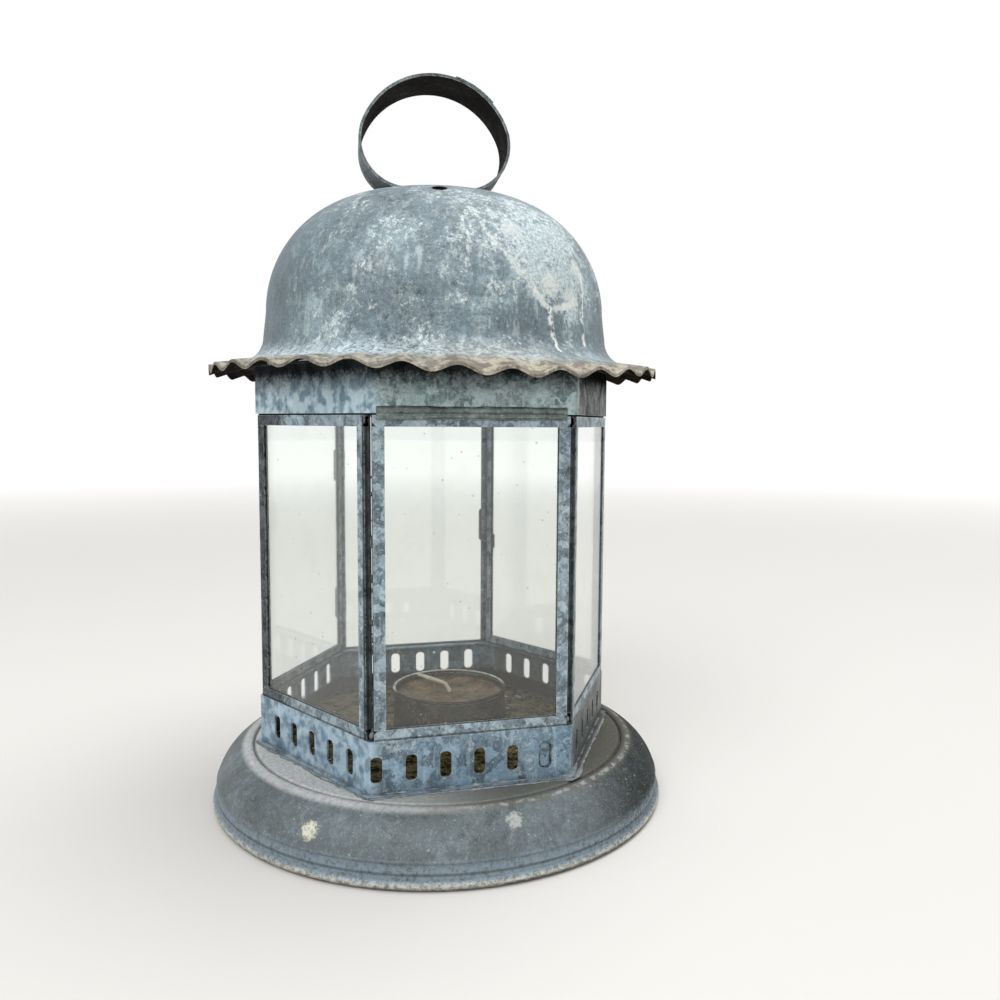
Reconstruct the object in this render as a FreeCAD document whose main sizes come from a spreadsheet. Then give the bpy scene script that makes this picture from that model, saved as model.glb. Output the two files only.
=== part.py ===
"""A hexagonal tin candle lantern: round spun base, pierced gallery band, six glazed
panels in folded tin channels, collar band, domed roof with a fluted skirt, strip ring
handle, and a rear door that swings on two wire hinges and closes with a turn latch.

Millimetres, +Z up. The origin is the middle of the foot circle, on the table. The front
panel faces -Y and the door faces +Y. Each sub-part is one named object of the document,
and its sizes are bound to the cells of the sheet "Sizes".
"""
import FreeCAD, Part
import math
import os
import Sketcher

V = FreeCAD.Vector

# Driving dimensions, in millimetres, and a few counts and angles.
SIZES = {
    # The six-sided body, measured to the outer faces of its two bands.
    "corner_radius": 64.0,
    "band_thickness": 0.6,
    "ledge_width": 3.2,
    "gallery_height": 17.0,
    "panel_height": 97.9,
    "collar_gap": 0.5,
    "collar_height": 16.0,
    "foot_flange": 1.6,
    "lap_width": 12.0,
    "collar_lap_width": 11.0,
    # The pierced slots of the gallery band.
    "slot_width": 3.6,
    "slot_height": 8.2,
    "slot_sill": 4.0,
    "rear_slot_sill": 5.7,
    "slot_corner": 1.5,
    "slot_pitch": 10.66,
    "slot_end_margin": 5.0,
    "first_slot_front": 2.1,
    "first_slot_front_right": 10.5,
    "first_slot_rear_right": 8.1,
    "first_slot_rear": 9.0,
    "first_slot_rear_left": 11.0,
    "first_slot_front_left": 11.0,
    # The folded channels that hold the glass.
    "channel_thickness": 0.4,
    "channel_depth": 2.4,
    "stile_face": 3.6,
    "rear_stile_face": 2.2,
    "door_stile_face": 2.0,
    "rail_face": 3.4,
    "corner_clearance": 1.5,
    "rail_snip": 1.2,
    "glass_thickness": 1.5,
    "glass_play": 0.05,
    # The spun base.
    "base_thickness": 0.6,
    "base_height": 19.6,
    "base_margin": 16.6,
    "edge_wire_radius": 1.0,
    "edge_wire_play": 0.05,
    "hem_step": 1.1,
    "band_lean": 0.4,
    "ridge_height": 8.0,
    "ridge_bulge": 0.6,
    "shoulder_radius": 16.5,
    "shoulder_width": 9.7,
    "rim_drop": 0.4,
    "rim_round": 2.2,
    "groove_inset": 2.9,
    "groove_drop": 0.7,
    "groove_slope": 0.9,
    # The candle cup, the wax left in it and its wick.
    "cup_offset_x": 4.0,
    "cup_offset_y": 2.4,
    "cup_radius": 20.7,
    "cup_height": 15.1,
    "cup_thickness": 0.5,
    "cup_bead": 0.6,
    "wax_play": 0.3,
    "wax_drop": 2.6,
    "wax_hollow": 0.8,
    "wick_radius": 0.7,
    "wick_reach": 15.0,
    "wick_rise": 3.4,
    "wick_root": 1.5,
    # The roof: crown, shoulder, wall, cove and fluted skirt.
    "roof_thickness": 0.9,
    "crown_radius": 125.0,
    "roof_shoulder": 40.0,
    "wall_inset": 4.3,
    "wall_lean": 1.0,
    "wall_height": 8.4,
    "cove_rise": 10.0,
    "cove_radius": 9.0,
    "skirt_reach": 17.8,
    "flute_rise": 1.15,
    "skirt_droop": 2.6,
    "roof_offset": 1.3,
    "vent_radius": 2.6,
    "vent_circle": 36.6,
    "rivet_hole_play": 0.05,
    # The ring seat that joins the round roof to the six-sided collar.
    "seat_thickness": 0.6,
    "seat_hole_margin": 18.0,
    "seat_rim_rise": 6.0,
    "seat_play": 0.1,
    # The ring handle and its rivet.
    "handle_width": 18.0,
    "handle_thickness": 0.9,
    "handle_top_radius": 26.8,
    "handle_side_radius": 16.0,
    "handle_offset": 1.1,
    "handle_lap_length": 15.0,
    "rivet_radius": 1.2,
    "rivet_head_radius": 2.8,
    "rivet_head_height": 0.9,
    "rivet_head_play": 0.06,
    # The door, which laps over the two bands at the rear.
    "door_lap": 3.0,
    "door_gap": 0.25,
    "door_side_margin": 1.0,
    # The two wire hinges.
    "hinge_thickness": 0.5,
    "hinge_height": 12.0,
    "hinge_leaf": 2.2,
    "hinge_margin": 14.0,
    "knuckle_radius": 1.5,
    "knuckle_gap": 0.2,
    "leaf_clearance": 0.35,
    "hinge_pin_radius": 0.7,
    "hinge_pin_play": 0.05,
    "pin_head_radius": 1.2,
    "pin_head_height": 0.5,
    # The turn latch.
    "latch_rise": 49.4,
    "latch_inset": 1.4,
    "latch_reach": 9.0,
    "latch_tail": 5.0,
    "latch_width": 2.6,
    "latch_thickness": 0.8,
    "latch_play": 0.08,
    "latch_side_play": 0.25,
    "stud_radius": 0.8,
    "stud_foot_radius": 1.3,
    "stud_foot_height": 0.4,
    "stud_head_radius": 1.3,
    "stud_head_height": 0.6,
    "keeper_width": 1.5,
    "keeper_thickness": 0.6,
    "keeper_lip": 3.4,
    "keeper_tab": 6.0,
    # The visible solder.
    "solder_size": 1.0,
    "groove_depth": 0.7,
    "groove_fill": 1.2,
    "seam_height": 5.2,
    "seam_depth": 0.7,
    # How far a cutter runs past what it cuts.
    "overrun": 1.0,
}
SIDES = 6
FLUTES = 32
VENTS = 6
POINTS_PER_FLUTE = 8
FLUTE_TURN = -101.6
VENT_TURN = -98.9
SKIRT_FALL = 13.0
DROOP_TURN = -80.0
DROOP_SPREAD = 48.0
HANDLE_TURN = -5.0
HANDLE_SWEEP = 23.1
HANDLE_LAP_END = 75.0
WICK_TURN = 131.0

doc = FreeCAD.newDocument("TinLantern")
sheet = doc.addObject("Spreadsheet::Sheet", "Sizes")
for row, (alias, value) in enumerate(SIZES.items(), start=1):
    sheet.set(f"A{row}", alias.replace("_", " "))
    sheet.set(f"B{row}", str(value))
    sheet.setAlias(f"B{row}", alias)
doc.recompute()


class Length:
    """A length as a number together with the sheet formula that gives it."""

    def __init__(self, number, formula):
        self.number = number
        self.formula = formula

    def __add__(self, other):
        return Length(self.number + other.number, f"({self.formula} + {other.formula})")

    def __sub__(self, other):
        return Length(self.number - other.number, f"({self.formula} - {other.formula})")

    def __mul__(self, factor):
        return Length(self.number * factor, f"({self.formula} * ({factor:.9f}))")

    def __neg__(self):
        return self * -1


class Sheet:
    """Gives each cell of the sheet as a Length, by its alias."""

    def __getattr__(self, alias):
        return Length(SIZES[alias], f"Sizes.{alias}")


S = Sheet()
ZERO = Length(0.0, "0 * Sizes.band_thickness")
HALF = 0.5
COS30 = math.cos(math.radians(30))
TAN30 = math.tan(math.radians(30))

def crown_rise(wall_radius):
    """How far the crown stands over the top of the wall, from its two tangent arcs."""
    middle = S.crown_radius - S.roof_shoulder
    offset = wall_radius - S.roof_shoulder
    height = math.sqrt(middle.number ** 2 - offset.number ** 2)
    formula = f"sqrt({middle.formula} ^ 2 - {offset.formula} ^ 2)"
    return S.crown_radius - Length(height, formula)


# Heights and distances that follow from the driving dimensions.
apothem = S.corner_radius * COS30
foot_radius = S.corner_radius + S.base_margin
hem = S.edge_wire_radius + S.base_thickness
band_foot_radius = foot_radius - S.hem_step
ridge_radius = band_foot_radius - S.band_lean
rim_radius = ridge_radius - S.shoulder_width
groove_radius = rim_radius - S.groove_inset
gallery_top = S.base_height + S.gallery_height
panel_top = gallery_top + S.panel_height
collar_foot = panel_top + S.collar_gap
collar_top = collar_foot + S.collar_height
panel_width = S.corner_radius - S.corner_clearance * 2
wall_foot_radius = S.corner_radius - S.wall_inset
wall_top_radius = wall_foot_radius - S.wall_lean
wall_foot_height = collar_top + S.cove_rise
wall_top_height = wall_foot_height + S.wall_height
roof_top = wall_top_height + crown_rise(wall_top_radius)
door_width = S.corner_radius - S.door_side_margin * 2
door_foot = gallery_top - S.door_lap
door_height = S.panel_height + S.collar_gap + S.door_lap * 2
door_back = apothem + S.door_gap
door_face = door_back + S.channel_depth


def polar(radius, degrees):
    """The point at this radius (a Length) and angle from the local X axis."""
    return (radius * math.cos(math.radians(degrees)), radius * math.sin(math.radians(degrees)))


def shifted(centre, offset):
    """One point moved by another, both as pairs of Lengths."""
    return (centre[0] + offset[0], centre[1] + offset[1])


def line_to(point):
    """A straight step of an outline."""
    return (point, None, 0)


def arc_to(point, radius, turn):
    """An arc step of an outline: turn 1 bends to the left, -1 to the right."""
    return (point, radius, turn)


def numbers(point):
    """A pair of Lengths as plain numbers in the sketch plane."""
    return V(point[0].number, point[1].number, 0)


def bind(sketch, kind, owner, position, length):
    """Adds a dimension from the sketch origin and ties it to the sheet."""
    index = sketch.addConstraint(Sketcher.Constraint(kind, -1, 1, owner, position, length.number))
    sketch.setExpression(f"Constraints[{index}]", length.formula)


def draw(sketch, start, steps):
    """Draws one closed outline, with every corner and radius tied to the sheet."""
    first = sketch.GeometryCount
    here = start
    ends = []
    for target, radius, turn in steps:
        p, q = numbers(here), numbers(target)
        if radius is None:
            edge = sketch.addGeometry(Part.LineSegment(p, q), False)
            ends.append((edge, 1, 2, here))
        else:
            r = radius.number
            half = (q - p) * HALF
            side = V(-half.y, half.x, 0).normalize() * turn
            centre = p + half + side * math.sqrt(max(r * r - half.Length ** 2, 0))
            a, b = (p, q) if turn > 0 else (q, p)
            low = math.atan2(a.y - centre.y, a.x - centre.x)
            high = math.atan2(b.y - centre.y, b.x - centre.x)
            if high < low:
                high += math.tau
            circle = Part.Circle(centre, V(0, 0, 1), r)
            edge = sketch.addGeometry(Part.ArcOfCircle(circle, low, high), False)
            index = sketch.addConstraint(Sketcher.Constraint("Radius", edge, r))
            sketch.setExpression(f"Constraints[{index}]", radius.formula)
            ends.append((edge, 1, 2, here) if turn > 0 else (edge, 2, 1, here))
        here = target
    for number, (edge, entry, leave, point) in enumerate(ends):
        following = ends[(number + 1) % len(ends)]
        sketch.addConstraint(Sketcher.Constraint("Coincident", edge, leave, following[0], following[1]))
        bind(sketch, "DistanceX", edge, entry, point[0])
        bind(sketch, "DistanceY", edge, entry, point[1])
    return first


def circle(sketch, centre, radius):
    """Draws one full circle tied to the sheet."""
    edge = sketch.addGeometry(Part.Circle(numbers(centre), V(0, 0, 1), radius.number), False)
    index = sketch.addConstraint(Sketcher.Constraint("Radius", edge, radius.number))
    sketch.setExpression(f"Constraints[{index}]", radius.formula)
    bind(sketch, "DistanceX", edge, 3, centre[0])
    bind(sketch, "DistanceY", edge, 3, centre[1])


def rectangle(sketch, low, high):
    """Draws an upright rectangle between two corners."""
    corners = [low, (high[0], low[1]), high, (low[0], high[1])]
    draw(sketch, corners[0], [line_to(c) for c in corners[1:] + corners[:1]])


def hexagon(sketch, corner_radius):
    """Draws the regular six-sided outline with a flat side towards -Y."""
    corners = [polar(corner_radius, -120 + 60 * k) for k in range(SIDES)]
    draw(sketch, corners[0], [line_to(c) for c in corners[1:] + corners[:1]])


def new_body(label):
    """A new, empty sub-part."""
    body = doc.addObject("PartDesign::Body", label)
    body.Label = label
    return body


def new_sketch(body, role, lift=None, turn=0):
    """A sketch on an origin plane, turned about the upright axis and lifted along its normal."""
    plane = next(f for f in body.Origin.OriginFeatures if f.Role == role)
    sketch = body.newObject("Sketcher::SketchObject", f"{body.Name}_sketch")
    sketch.AttachmentSupport = [(plane, "")]
    sketch.MapMode = "FlatFace"
    if turn:
        sketch.AttachmentOffset = FreeCAD.Placement(V(0, 0, 0), FreeCAD.Rotation(V(0, 1, 0), turn))
        across = lift * math.sin(math.radians(turn))
        sketch.setExpression("AttachmentOffset.Base.x", across.formula)
        lift = lift * math.cos(math.radians(turn))
    if lift is not None:
        sketch.setExpression("AttachmentOffset.Base.z", lift.formula)
    return sketch


def feature(body, kind, sketch, length=None, reverse=False, middle=False):
    """A pad or pocket of a sketch."""
    made = body.newObject(f"PartDesign::{kind}", f"{body.Name}_{kind.lower()}")
    made.Profile = sketch
    made.setExpression("Length", length.formula)
    made.Reversed = reverse
    if middle:
        made.SideType = "Symmetric"
    sketch.Visibility = False
    return made


def pad(body, sketch, length, reverse=False, middle=False):
    return feature(body, "Pad", sketch, length, reverse, middle)


def pocket(body, sketch, length, reverse=False, middle=False):
    return feature(body, "Pocket", sketch, length, reverse, middle)


def revolve(body, sketch):
    """Turns a sketch a full turn about the body's vertical axis."""
    made = body.newObject("PartDesign::Revolution", f"{body.Name}_turned")
    made.Profile = sketch
    made.ReferenceAxis = (sketch, ["V_Axis"])
    made.Angle = 360
    return made


def turned(degrees):
    """A turn about the lantern's upright axis."""
    return FreeCAD.Rotation(V(0, 0, 1), degrees)


def set_off(piece):
    """Moves a piece of the roof to where it sits, a little off the middle of the body."""
    piece.setExpression("Placement.Base.x", (-S.roof_offset).formula)


def set_beside(piece):
    """Moves a piece of the candle's place to where the cup stands, beside the middle."""
    piece.setExpression("Placement.Base.x", S.cup_offset_x.formula)
    piece.setExpression("Placement.Base.y", S.cup_offset_y.formula)


# The spun base and the wire in its hem.
def make_base_pan():
    body = new_body("base_pan")
    hem_centre = (foot_radius - hem, hem)
    sheet_foot = hem + S.edge_wire_radius + S.base_thickness * HALF
    t = S.base_thickness
    under = S.base_height - t
    rim = (rim_radius, S.base_height - S.rim_drop)
    rim_under = shifted(rim, polar(t, 240))
    outline = new_sketch(body, "XZ_Plane")
    draw(outline, (ZERO, under), [
        line_to((groove_radius - S.groove_slope - t * HALF, under)),
        line_to((groove_radius, under - S.groove_drop)),
        arc_to(rim_under, S.rim_round - t * HALF, -1),
        arc_to((ridge_radius - t, S.ridge_height), S.shoulder_radius - t, -1),
        line_to((band_foot_radius - t, sheet_foot)),
        line_to((band_foot_radius, sheet_foot)),
        line_to((ridge_radius, S.ridge_height - S.ridge_bulge)),
        arc_to((ridge_radius, S.ridge_height + S.ridge_bulge), S.ridge_bulge * 1.4, 1),
        arc_to(rim, S.shoulder_radius, 1),
        arc_to((groove_radius, S.base_height - S.groove_drop), S.rim_round, 1),
        line_to((groove_radius - S.groove_slope, S.base_height)),
        line_to((ZERO, S.base_height)),
        line_to((ZERO, under)),
    ])
    revolve(body, outline)
    rolled = new_sketch(body, "XZ_Plane")
    circle(rolled, hem_centre, hem)
    circle(rolled, hem_centre, S.edge_wire_radius + S.edge_wire_play)
    revolve(body, rolled)


def make_base_edge_wire():
    body = new_body("base_edge_wire")
    section = new_sketch(body, "XZ_Plane")
    circle(section, (foot_radius - hem, hem), S.edge_wire_radius)
    revolve(body, section)


# The two six-sided bands.
def make_band(label, foot, height, ledge_at_top):
    """A six-sided tube with an inward ledge where the panels meet it."""
    body = new_body(label)
    wall = new_sketch(body, "XY_Plane", foot)
    hexagon(wall, S.corner_radius)
    hexagon(wall, S.corner_radius - S.band_thickness * (1 / COS30))
    pad(body, wall, height)
    ledge = new_sketch(body, "XY_Plane", foot + height if ledge_at_top else foot)
    hexagon(ledge, S.corner_radius - S.band_thickness * HALF)
    hexagon(ledge, S.corner_radius - S.ledge_width * (1 / COS30))
    pad(body, ledge, S.band_thickness, reverse=ledge_at_top)
    return body


def draw_slot(sketch, middle, sill):
    """One upright slot with rounded corners, centred on this distance along the face."""
    head = sill + S.slot_height
    left = middle - S.slot_width * HALF
    right = middle + S.slot_width * HALF
    c = S.slot_corner
    draw(sketch, (left + c, sill), [
        line_to((right - c, sill)),
        arc_to((right, sill + c), c, 1),
        line_to((right, head - c)),
        arc_to((right - c, head), c, 1),
        line_to((left + c, head)),
        arc_to((left, head - c), c, 1),
        line_to((left, sill + c)),
        arc_to((left + c, sill), c, 1),
    ])


def make_gallery_band():
    body = make_band("gallery_band", S.base_height, S.gallery_height, True)
    flange = new_sketch(body, "XY_Plane", S.base_height)
    hexagon(flange, S.corner_radius + S.foot_flange * (1 / COS30))
    hexagon(flange, S.corner_radius - S.band_thickness * HALF)
    pad(body, flange, S.band_thickness)
    # The slots were pierced before the strip was bent, so each face begins its row elsewhere,
    # and the row stands a little higher along the rear half of the strip.
    low_sill = S.base_height + S.slot_sill
    high_sill = S.base_height + S.rear_slot_sill
    rows = (
        (S.first_slot_front, low_sill),
        (S.first_slot_front_right, low_sill),
        (S.first_slot_rear_right, high_sill),
        (S.first_slot_rear, high_sill),
        (S.first_slot_rear_left, high_sill),
        (S.first_slot_front_left, low_sill),
    )
    for k, (first, sill) in enumerate(rows):
        slots = new_sketch(body, "XZ_Plane", apothem - S.band_thickness - S.overrun, 60 * k)
        room = S.corner_radius - first - S.slot_end_margin
        for number in range(int(room.number / S.slot_pitch.number) + 1):
            draw_slot(slots, first + S.slot_pitch * number - S.corner_radius * HALF, sill)
        pocket(body, slots, S.band_thickness + S.overrun * 2, reverse=True)
    # The end of the strip runs on behind the front face and closes its last slot.
    lap = new_sketch(body, "XY_Plane", S.base_height)
    corner = S.corner_radius * HALF
    face = -(apothem - S.band_thickness)
    rectangle(lap, (corner - S.lap_width, face), (corner - S.band_thickness, face + S.band_thickness))
    pad(body, lap, S.gallery_height - S.band_thickness)


def make_collar_band():
    body = make_band("collar_band", collar_foot, S.collar_height, False)
    # The lapped end of the strip lies on the next face, past the front right corner.
    lap = new_sketch(body, "XY_Plane", collar_foot)
    corner = polar(S.corner_radius, -60)
    along = polar(S.collar_lap_width, 60)
    out = polar(S.band_thickness, -30)
    sink = polar(S.band_thickness * HALF, 150)
    near = shifted(corner, sink)
    far = shifted(shifted(corner, along), sink)
    draw(lap, near, [
        line_to(shifted(corner, out)),
        line_to(shifted(shifted(corner, along), out)),
        line_to(far),
        line_to(near),
    ])
    pad(body, lap, S.collar_height)


# A glazed panel: two rails, two stiles and the pane, made at the front and turned into place.
def channel_outline(sketch, near, far, tip_side):
    """A folded channel in section, from its back to the tips of its two flanges."""
    t = S.channel_thickness
    web, tip = near[0], far[0]
    inner_web = web + t * tip_side
    draw(sketch, (web, near[1]), [
        line_to((tip, near[1])),
        line_to((tip, near[1] + t)),
        line_to((inner_web, near[1] + t)),
        line_to((inner_web, far[1] - t)),
        line_to((tip, far[1] - t)),
        line_to((tip, far[1])),
        line_to((web, far[1])),
        line_to((web, near[1])),
    ])


def make_stile(label, side, flange, width, foot, height, face, degrees):
    """An upright channel at the left (side -1) or right (side 1) of a panel."""
    body = new_body(label)
    section = new_sketch(body, "XY_Plane", foot + S.rail_face)
    edge = width * (HALF * side)
    channel_outline(section, (edge, -face), (edge - flange * side, -face + S.channel_depth), -side)
    pad(body, section, height - S.rail_face * 2)
    body.Placement.Rotation = turned(degrees)


def make_rail(label, side, width, foot, height, face, degrees):
    """A level channel at the foot (side -1) or head (side 1) of a panel."""
    body = new_body(label)
    section = new_sketch(body, "YZ_Plane", -width * HALF)
    edge = foot if side < 0 else foot + height
    tip = edge - S.rail_face * side
    t = S.channel_thickness
    outer, inner = -face, -face + S.channel_depth
    inner_edge = edge - t * side
    draw(section, (outer, edge), [
        line_to((outer, tip)),
        line_to((outer + t, tip)),
        line_to((outer + t, inner_edge)),
        line_to((inner - t, inner_edge)),
        line_to((inner - t, tip)),
        line_to((inner, tip)),
        line_to((inner, edge)),
        line_to((outer, edge)),
    ])
    pad(body, section, width)
    # The outer flange is snipped at a slant at both ends.
    snips = new_sketch(body, "XZ_Plane", face - t - S.overrun * HALF)
    over = tip + S.overrun * -side
    for end in (-1, 1):
        outside = width * (HALF * end) + S.overrun * end
        corner = width * (HALF * end) - S.rail_snip * end
        draw(snips, (corner, over), [
            line_to((outside, over)),
            line_to((outside, tip + S.rail_snip * side + S.overrun * side)),
            line_to((corner, tip)),
            line_to((corner, over)),
        ])
    pocket(body, snips, t + S.overrun, reverse=True)
    body.Placement.Rotation = turned(degrees)


def make_pane(label, width, foot, height, face, degrees):
    """The glass, held in the channels on all four sides."""
    body = new_body(label)
    inset = S.channel_thickness + S.glass_play
    outline = new_sketch(body, "XZ_Plane", face - inset)
    reach = width * HALF - inset
    rectangle(outline, (-reach, foot + inset), (reach, foot + height - inset))
    pad(body, outline, S.glass_thickness, reverse=True)
    body.Placement.Rotation = turned(degrees)


def make_panel(prefix, left, right, width, foot, height, face, degrees):
    """A pane in its four channels. left and right each give a stile's name and its flange."""
    place = (width, foot, height, face, degrees)
    make_rail(f"{prefix}_bottom_rail", -1, *place)
    make_rail(f"{prefix}_top_rail", 1, *place)
    make_stile(f"{prefix}_{left[0]}_stile", -1, left[1], *place)
    make_stile(f"{prefix}_{right[0]}_stile", 1, right[1], *place)
    make_pane(f"{prefix}_pane", *place)


# The hinges, latch and keeper, made as if the door faced -Y and then turned to the rear.
REAR = 180.0
out_normal = (COS30, -HALF)
out_along = (HALF, COS30)
hinge_y = -(door_face + S.hinge_thickness - S.knuckle_radius)
hinge_x = (S.corner_radius * HALF
           + (S.knuckle_radius + (hinge_y + apothem) * HALF) * (1 / COS30))
hinge_feet = (gallery_top + S.hinge_margin, panel_top - S.hinge_margin - S.hinge_height)
knuckle_height = (S.hinge_height - S.knuckle_gap * 2) * (1 / 3)
notch = S.knuckle_radius + S.leaf_clearance


def on_neighbour(distance_out, distance_along):
    """A point measured from the hinge axis along the next panel's own directions."""
    return (hinge_x + distance_out * out_normal[0] + distance_along * out_along[0],
            hinge_y + distance_out * out_normal[1] + distance_along * out_along[1])


def make_hinge_leaf(label, on_door):
    """Both leaves of one side, each with its knuckles, as one node of two solids."""
    leaves = []
    step = knuckle_height + S.knuckle_gap
    for number, foot in enumerate(hinge_feet):
        body = new_body(f"{label}_{number + 1}")
        rises = [step] if on_door else [ZERO, step * 2]
        near, far = notch, notch + S.hinge_leaf
        if on_door:
            low, high = -S.knuckle_radius, -S.knuckle_radius + S.hinge_thickness
            corners = [(hinge_x - near, hinge_y + low), (hinge_x - far, hinge_y + low),
                       (hinge_x - far, hinge_y + high), (hinge_x - near, hinge_y + high)]
            root = [(hinge_x, hinge_y + low), corners[0], corners[3], (hinge_x, hinge_y + high)]
        else:
            low, high = -S.knuckle_radius, -S.knuckle_radius + S.hinge_thickness
            corners = [on_neighbour(low, near), on_neighbour(low, far),
                       on_neighbour(high, far), on_neighbour(high, near)]
            root = [on_neighbour(low, ZERO), corners[0], corners[3], on_neighbour(high, ZERO)]
        plate = new_sketch(body, "XY_Plane", foot)
        draw(plate, corners[0], [line_to(c) for c in corners[1:] + corners[:1]])
        pad(body, plate, S.hinge_height)
        for rise in rises:
            tongue = new_sketch(body, "XY_Plane", foot + rise)
            draw(tongue, root[0], [line_to(c) for c in root[1:] + root[:1]])
            pad(body, tongue, knuckle_height)
            knuckle = new_sketch(body, "XY_Plane", foot + rise)
            circle(knuckle, (hinge_x, hinge_y), S.knuckle_radius)
            pad(body, knuckle, knuckle_height)
        bore = new_sketch(body, "XY_Plane", foot - S.overrun)
        circle(bore, (hinge_x, hinge_y), S.hinge_pin_radius + S.hinge_pin_play)
        pocket(body, bore, S.hinge_height + S.overrun * 2, reverse=True)
        leaves.append(body)
    return join_group(label, leaves)


def join_group(label, members):
    """Shows several separate solids as one sub-part, turned to the rear."""
    group = doc.addObject("Part::Compound", label)
    group.Label = label
    group.Links = members
    group.Placement.Rotation = turned(REAR)
    return group


def make_hinge_pins():
    pins = []
    for number, foot in enumerate(hinge_feet):
        body = new_body(f"hinge_pin_{number + 1}")
        shank = new_sketch(body, "XY_Plane", foot - S.pin_head_height)
        circle(shank, (hinge_x, hinge_y), S.hinge_pin_radius)
        pad(body, shank, S.hinge_height + S.pin_head_height * 2)
        for level in (foot - S.pin_head_height, foot + S.hinge_height):
            head = new_sketch(body, "XY_Plane", level)
            circle(head, (hinge_x, hinge_y), S.pin_head_radius)
            pad(body, head, S.pin_head_height)
        pins.append(body)
    return join_group("hinge_pins", pins)


latch_z = gallery_top + S.latch_rise
latch_x = -(door_width * HALF - S.latch_inset)
bar_back = door_face + S.stud_foot_height + S.latch_play
bar_front = bar_back + S.latch_thickness


def make_latch_stud():
    """A headed stud soldered to the door's stile, on which the latch bar turns."""
    body = new_body("latch_stud")
    centre = (latch_x, latch_z)
    for near, length, radius in (
            (door_face, S.stud_foot_height, S.stud_foot_radius),
            (door_face, bar_front + S.latch_play - door_face, S.stud_radius),
            (bar_front + S.latch_play, S.stud_head_height, S.stud_head_radius)):
        disc = new_sketch(body, "XZ_Plane", near)
        circle(disc, centre, radius)
        pad(body, disc, length)
    body.Placement.Rotation = turned(REAR)


def make_latch_bar():
    """The turn latch, standing upright, which is its open position."""
    body = new_body("latch_bar")
    half = S.latch_width * HALF
    top = latch_z + S.latch_reach - half
    foot = latch_z - S.latch_tail + half
    outline = new_sketch(body, "XZ_Plane", bar_back)
    draw(outline, (latch_x - half, foot), [
        arc_to((latch_x, foot - half), half, 1),
        arc_to((latch_x + half, foot), half, 1),
        line_to((latch_x + half, top)),
        arc_to((latch_x, top + half), half, 1),
        arc_to((latch_x - half, top), half, 1),
        line_to((latch_x - half, foot)),
    ])
    pad(body, outline, S.latch_thickness)
    bore = new_sketch(body, "XZ_Plane", bar_back - S.overrun)
    circle(bore, (latch_x, latch_z), S.stud_radius + S.latch_play)
    pocket(body, bore, S.latch_thickness + S.overrun * 2, reverse=True)
    body.Placement.Rotation = turned(REAR)


def make_latch_keeper():
    """A bent catch on the neighbouring stile: tab, shelf and upturned lip."""
    body = new_body("latch_keeper")
    shelf_top = latch_z - S.latch_width * HALF - S.latch_side_play
    shelf_foot = shelf_top - S.keeper_thickness
    lip_back = bar_front + S.latch_side_play
    lip_front = lip_back + S.keeper_thickness
    inner_x = -(S.corner_radius * HALF + S.corner_clearance * HALF)
    width = S.keeper_width
    outer_x = inner_x - width
    # The neighbouring face recedes at 60 degrees, so its stile looks half as wide from behind.
    inner_y = -apothem + S.corner_clearance * COS30
    outer_y = inner_y + width * (1 / TAN30)
    skin = S.keeper_thickness * (1 / HALF)
    shelf = new_sketch(body, "XY_Plane", shelf_foot)
    draw(shelf, (inner_x, inner_y), [
        line_to((outer_x, outer_y)),
        line_to((outer_x, -lip_front)),
        line_to((inner_x, -lip_front)),
        line_to((inner_x, inner_y)),
    ])
    pad(body, shelf, S.keeper_thickness)
    lip = new_sketch(body, "XY_Plane", shelf_foot)
    rectangle(lip, (outer_x, -lip_front), (inner_x, -lip_back))
    pad(body, lip, S.keeper_lip + S.keeper_thickness)
    tab = new_sketch(body, "XY_Plane", shelf_top - S.keeper_tab)
    draw(tab, (inner_x, inner_y), [
        line_to((outer_x, outer_y)),
        line_to((outer_x, outer_y - skin)),
        line_to((inner_x, inner_y - skin)),
        line_to((inner_x, inner_y)),
    ])
    pad(body, tab, S.keeper_tab)
    body.Placement.Rotation = turned(REAR)


# The candle cup and what is left of its candle.
floor = S.base_height
cup_top = floor + S.cup_height
wax_top = cup_top - S.wax_drop


def make_candle_cup():
    body = new_body("candle_cup")
    wall = new_sketch(body, "XZ_Plane")
    inner = S.cup_radius - S.cup_thickness
    draw(wall, (ZERO, floor), [
        line_to((S.cup_radius, floor)),
        line_to((S.cup_radius, cup_top - S.cup_bead)),
        line_to((inner, cup_top - S.cup_bead)),
        line_to((inner, floor + S.cup_thickness)),
        line_to((ZERO, floor + S.cup_thickness)),
        line_to((ZERO, floor)),
    ])
    revolve(body, wall)
    bead = new_sketch(body, "XZ_Plane")
    circle(bead, (S.cup_radius - S.cup_thickness * HALF, cup_top - S.cup_bead), S.cup_bead)
    revolve(body, bead)
    set_beside(body)


def make_candle_stub():
    body = new_body("candle_stub")
    edge = S.cup_radius - S.cup_thickness - S.wax_play
    section = new_sketch(body, "XZ_Plane")
    foot = floor + S.cup_thickness
    draw(section, (ZERO, foot), [
        line_to((edge, foot)),
        line_to((edge, wax_top)),
        line_to((edge - S.wax_hollow, wax_top)),
        line_to((edge * HALF, wax_top - S.wax_hollow)),
        line_to((S.wick_radius * 2, wax_top - S.wax_hollow)),
        line_to((S.wick_radius, wax_top)),
        line_to((S.wick_radius, wax_top - S.wick_root - S.wax_hollow)),
        line_to((ZERO, wax_top - S.wick_root - S.wax_hollow)),
        line_to((ZERO, foot)),
    ])
    revolve(body, section)
    set_beside(body)


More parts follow.
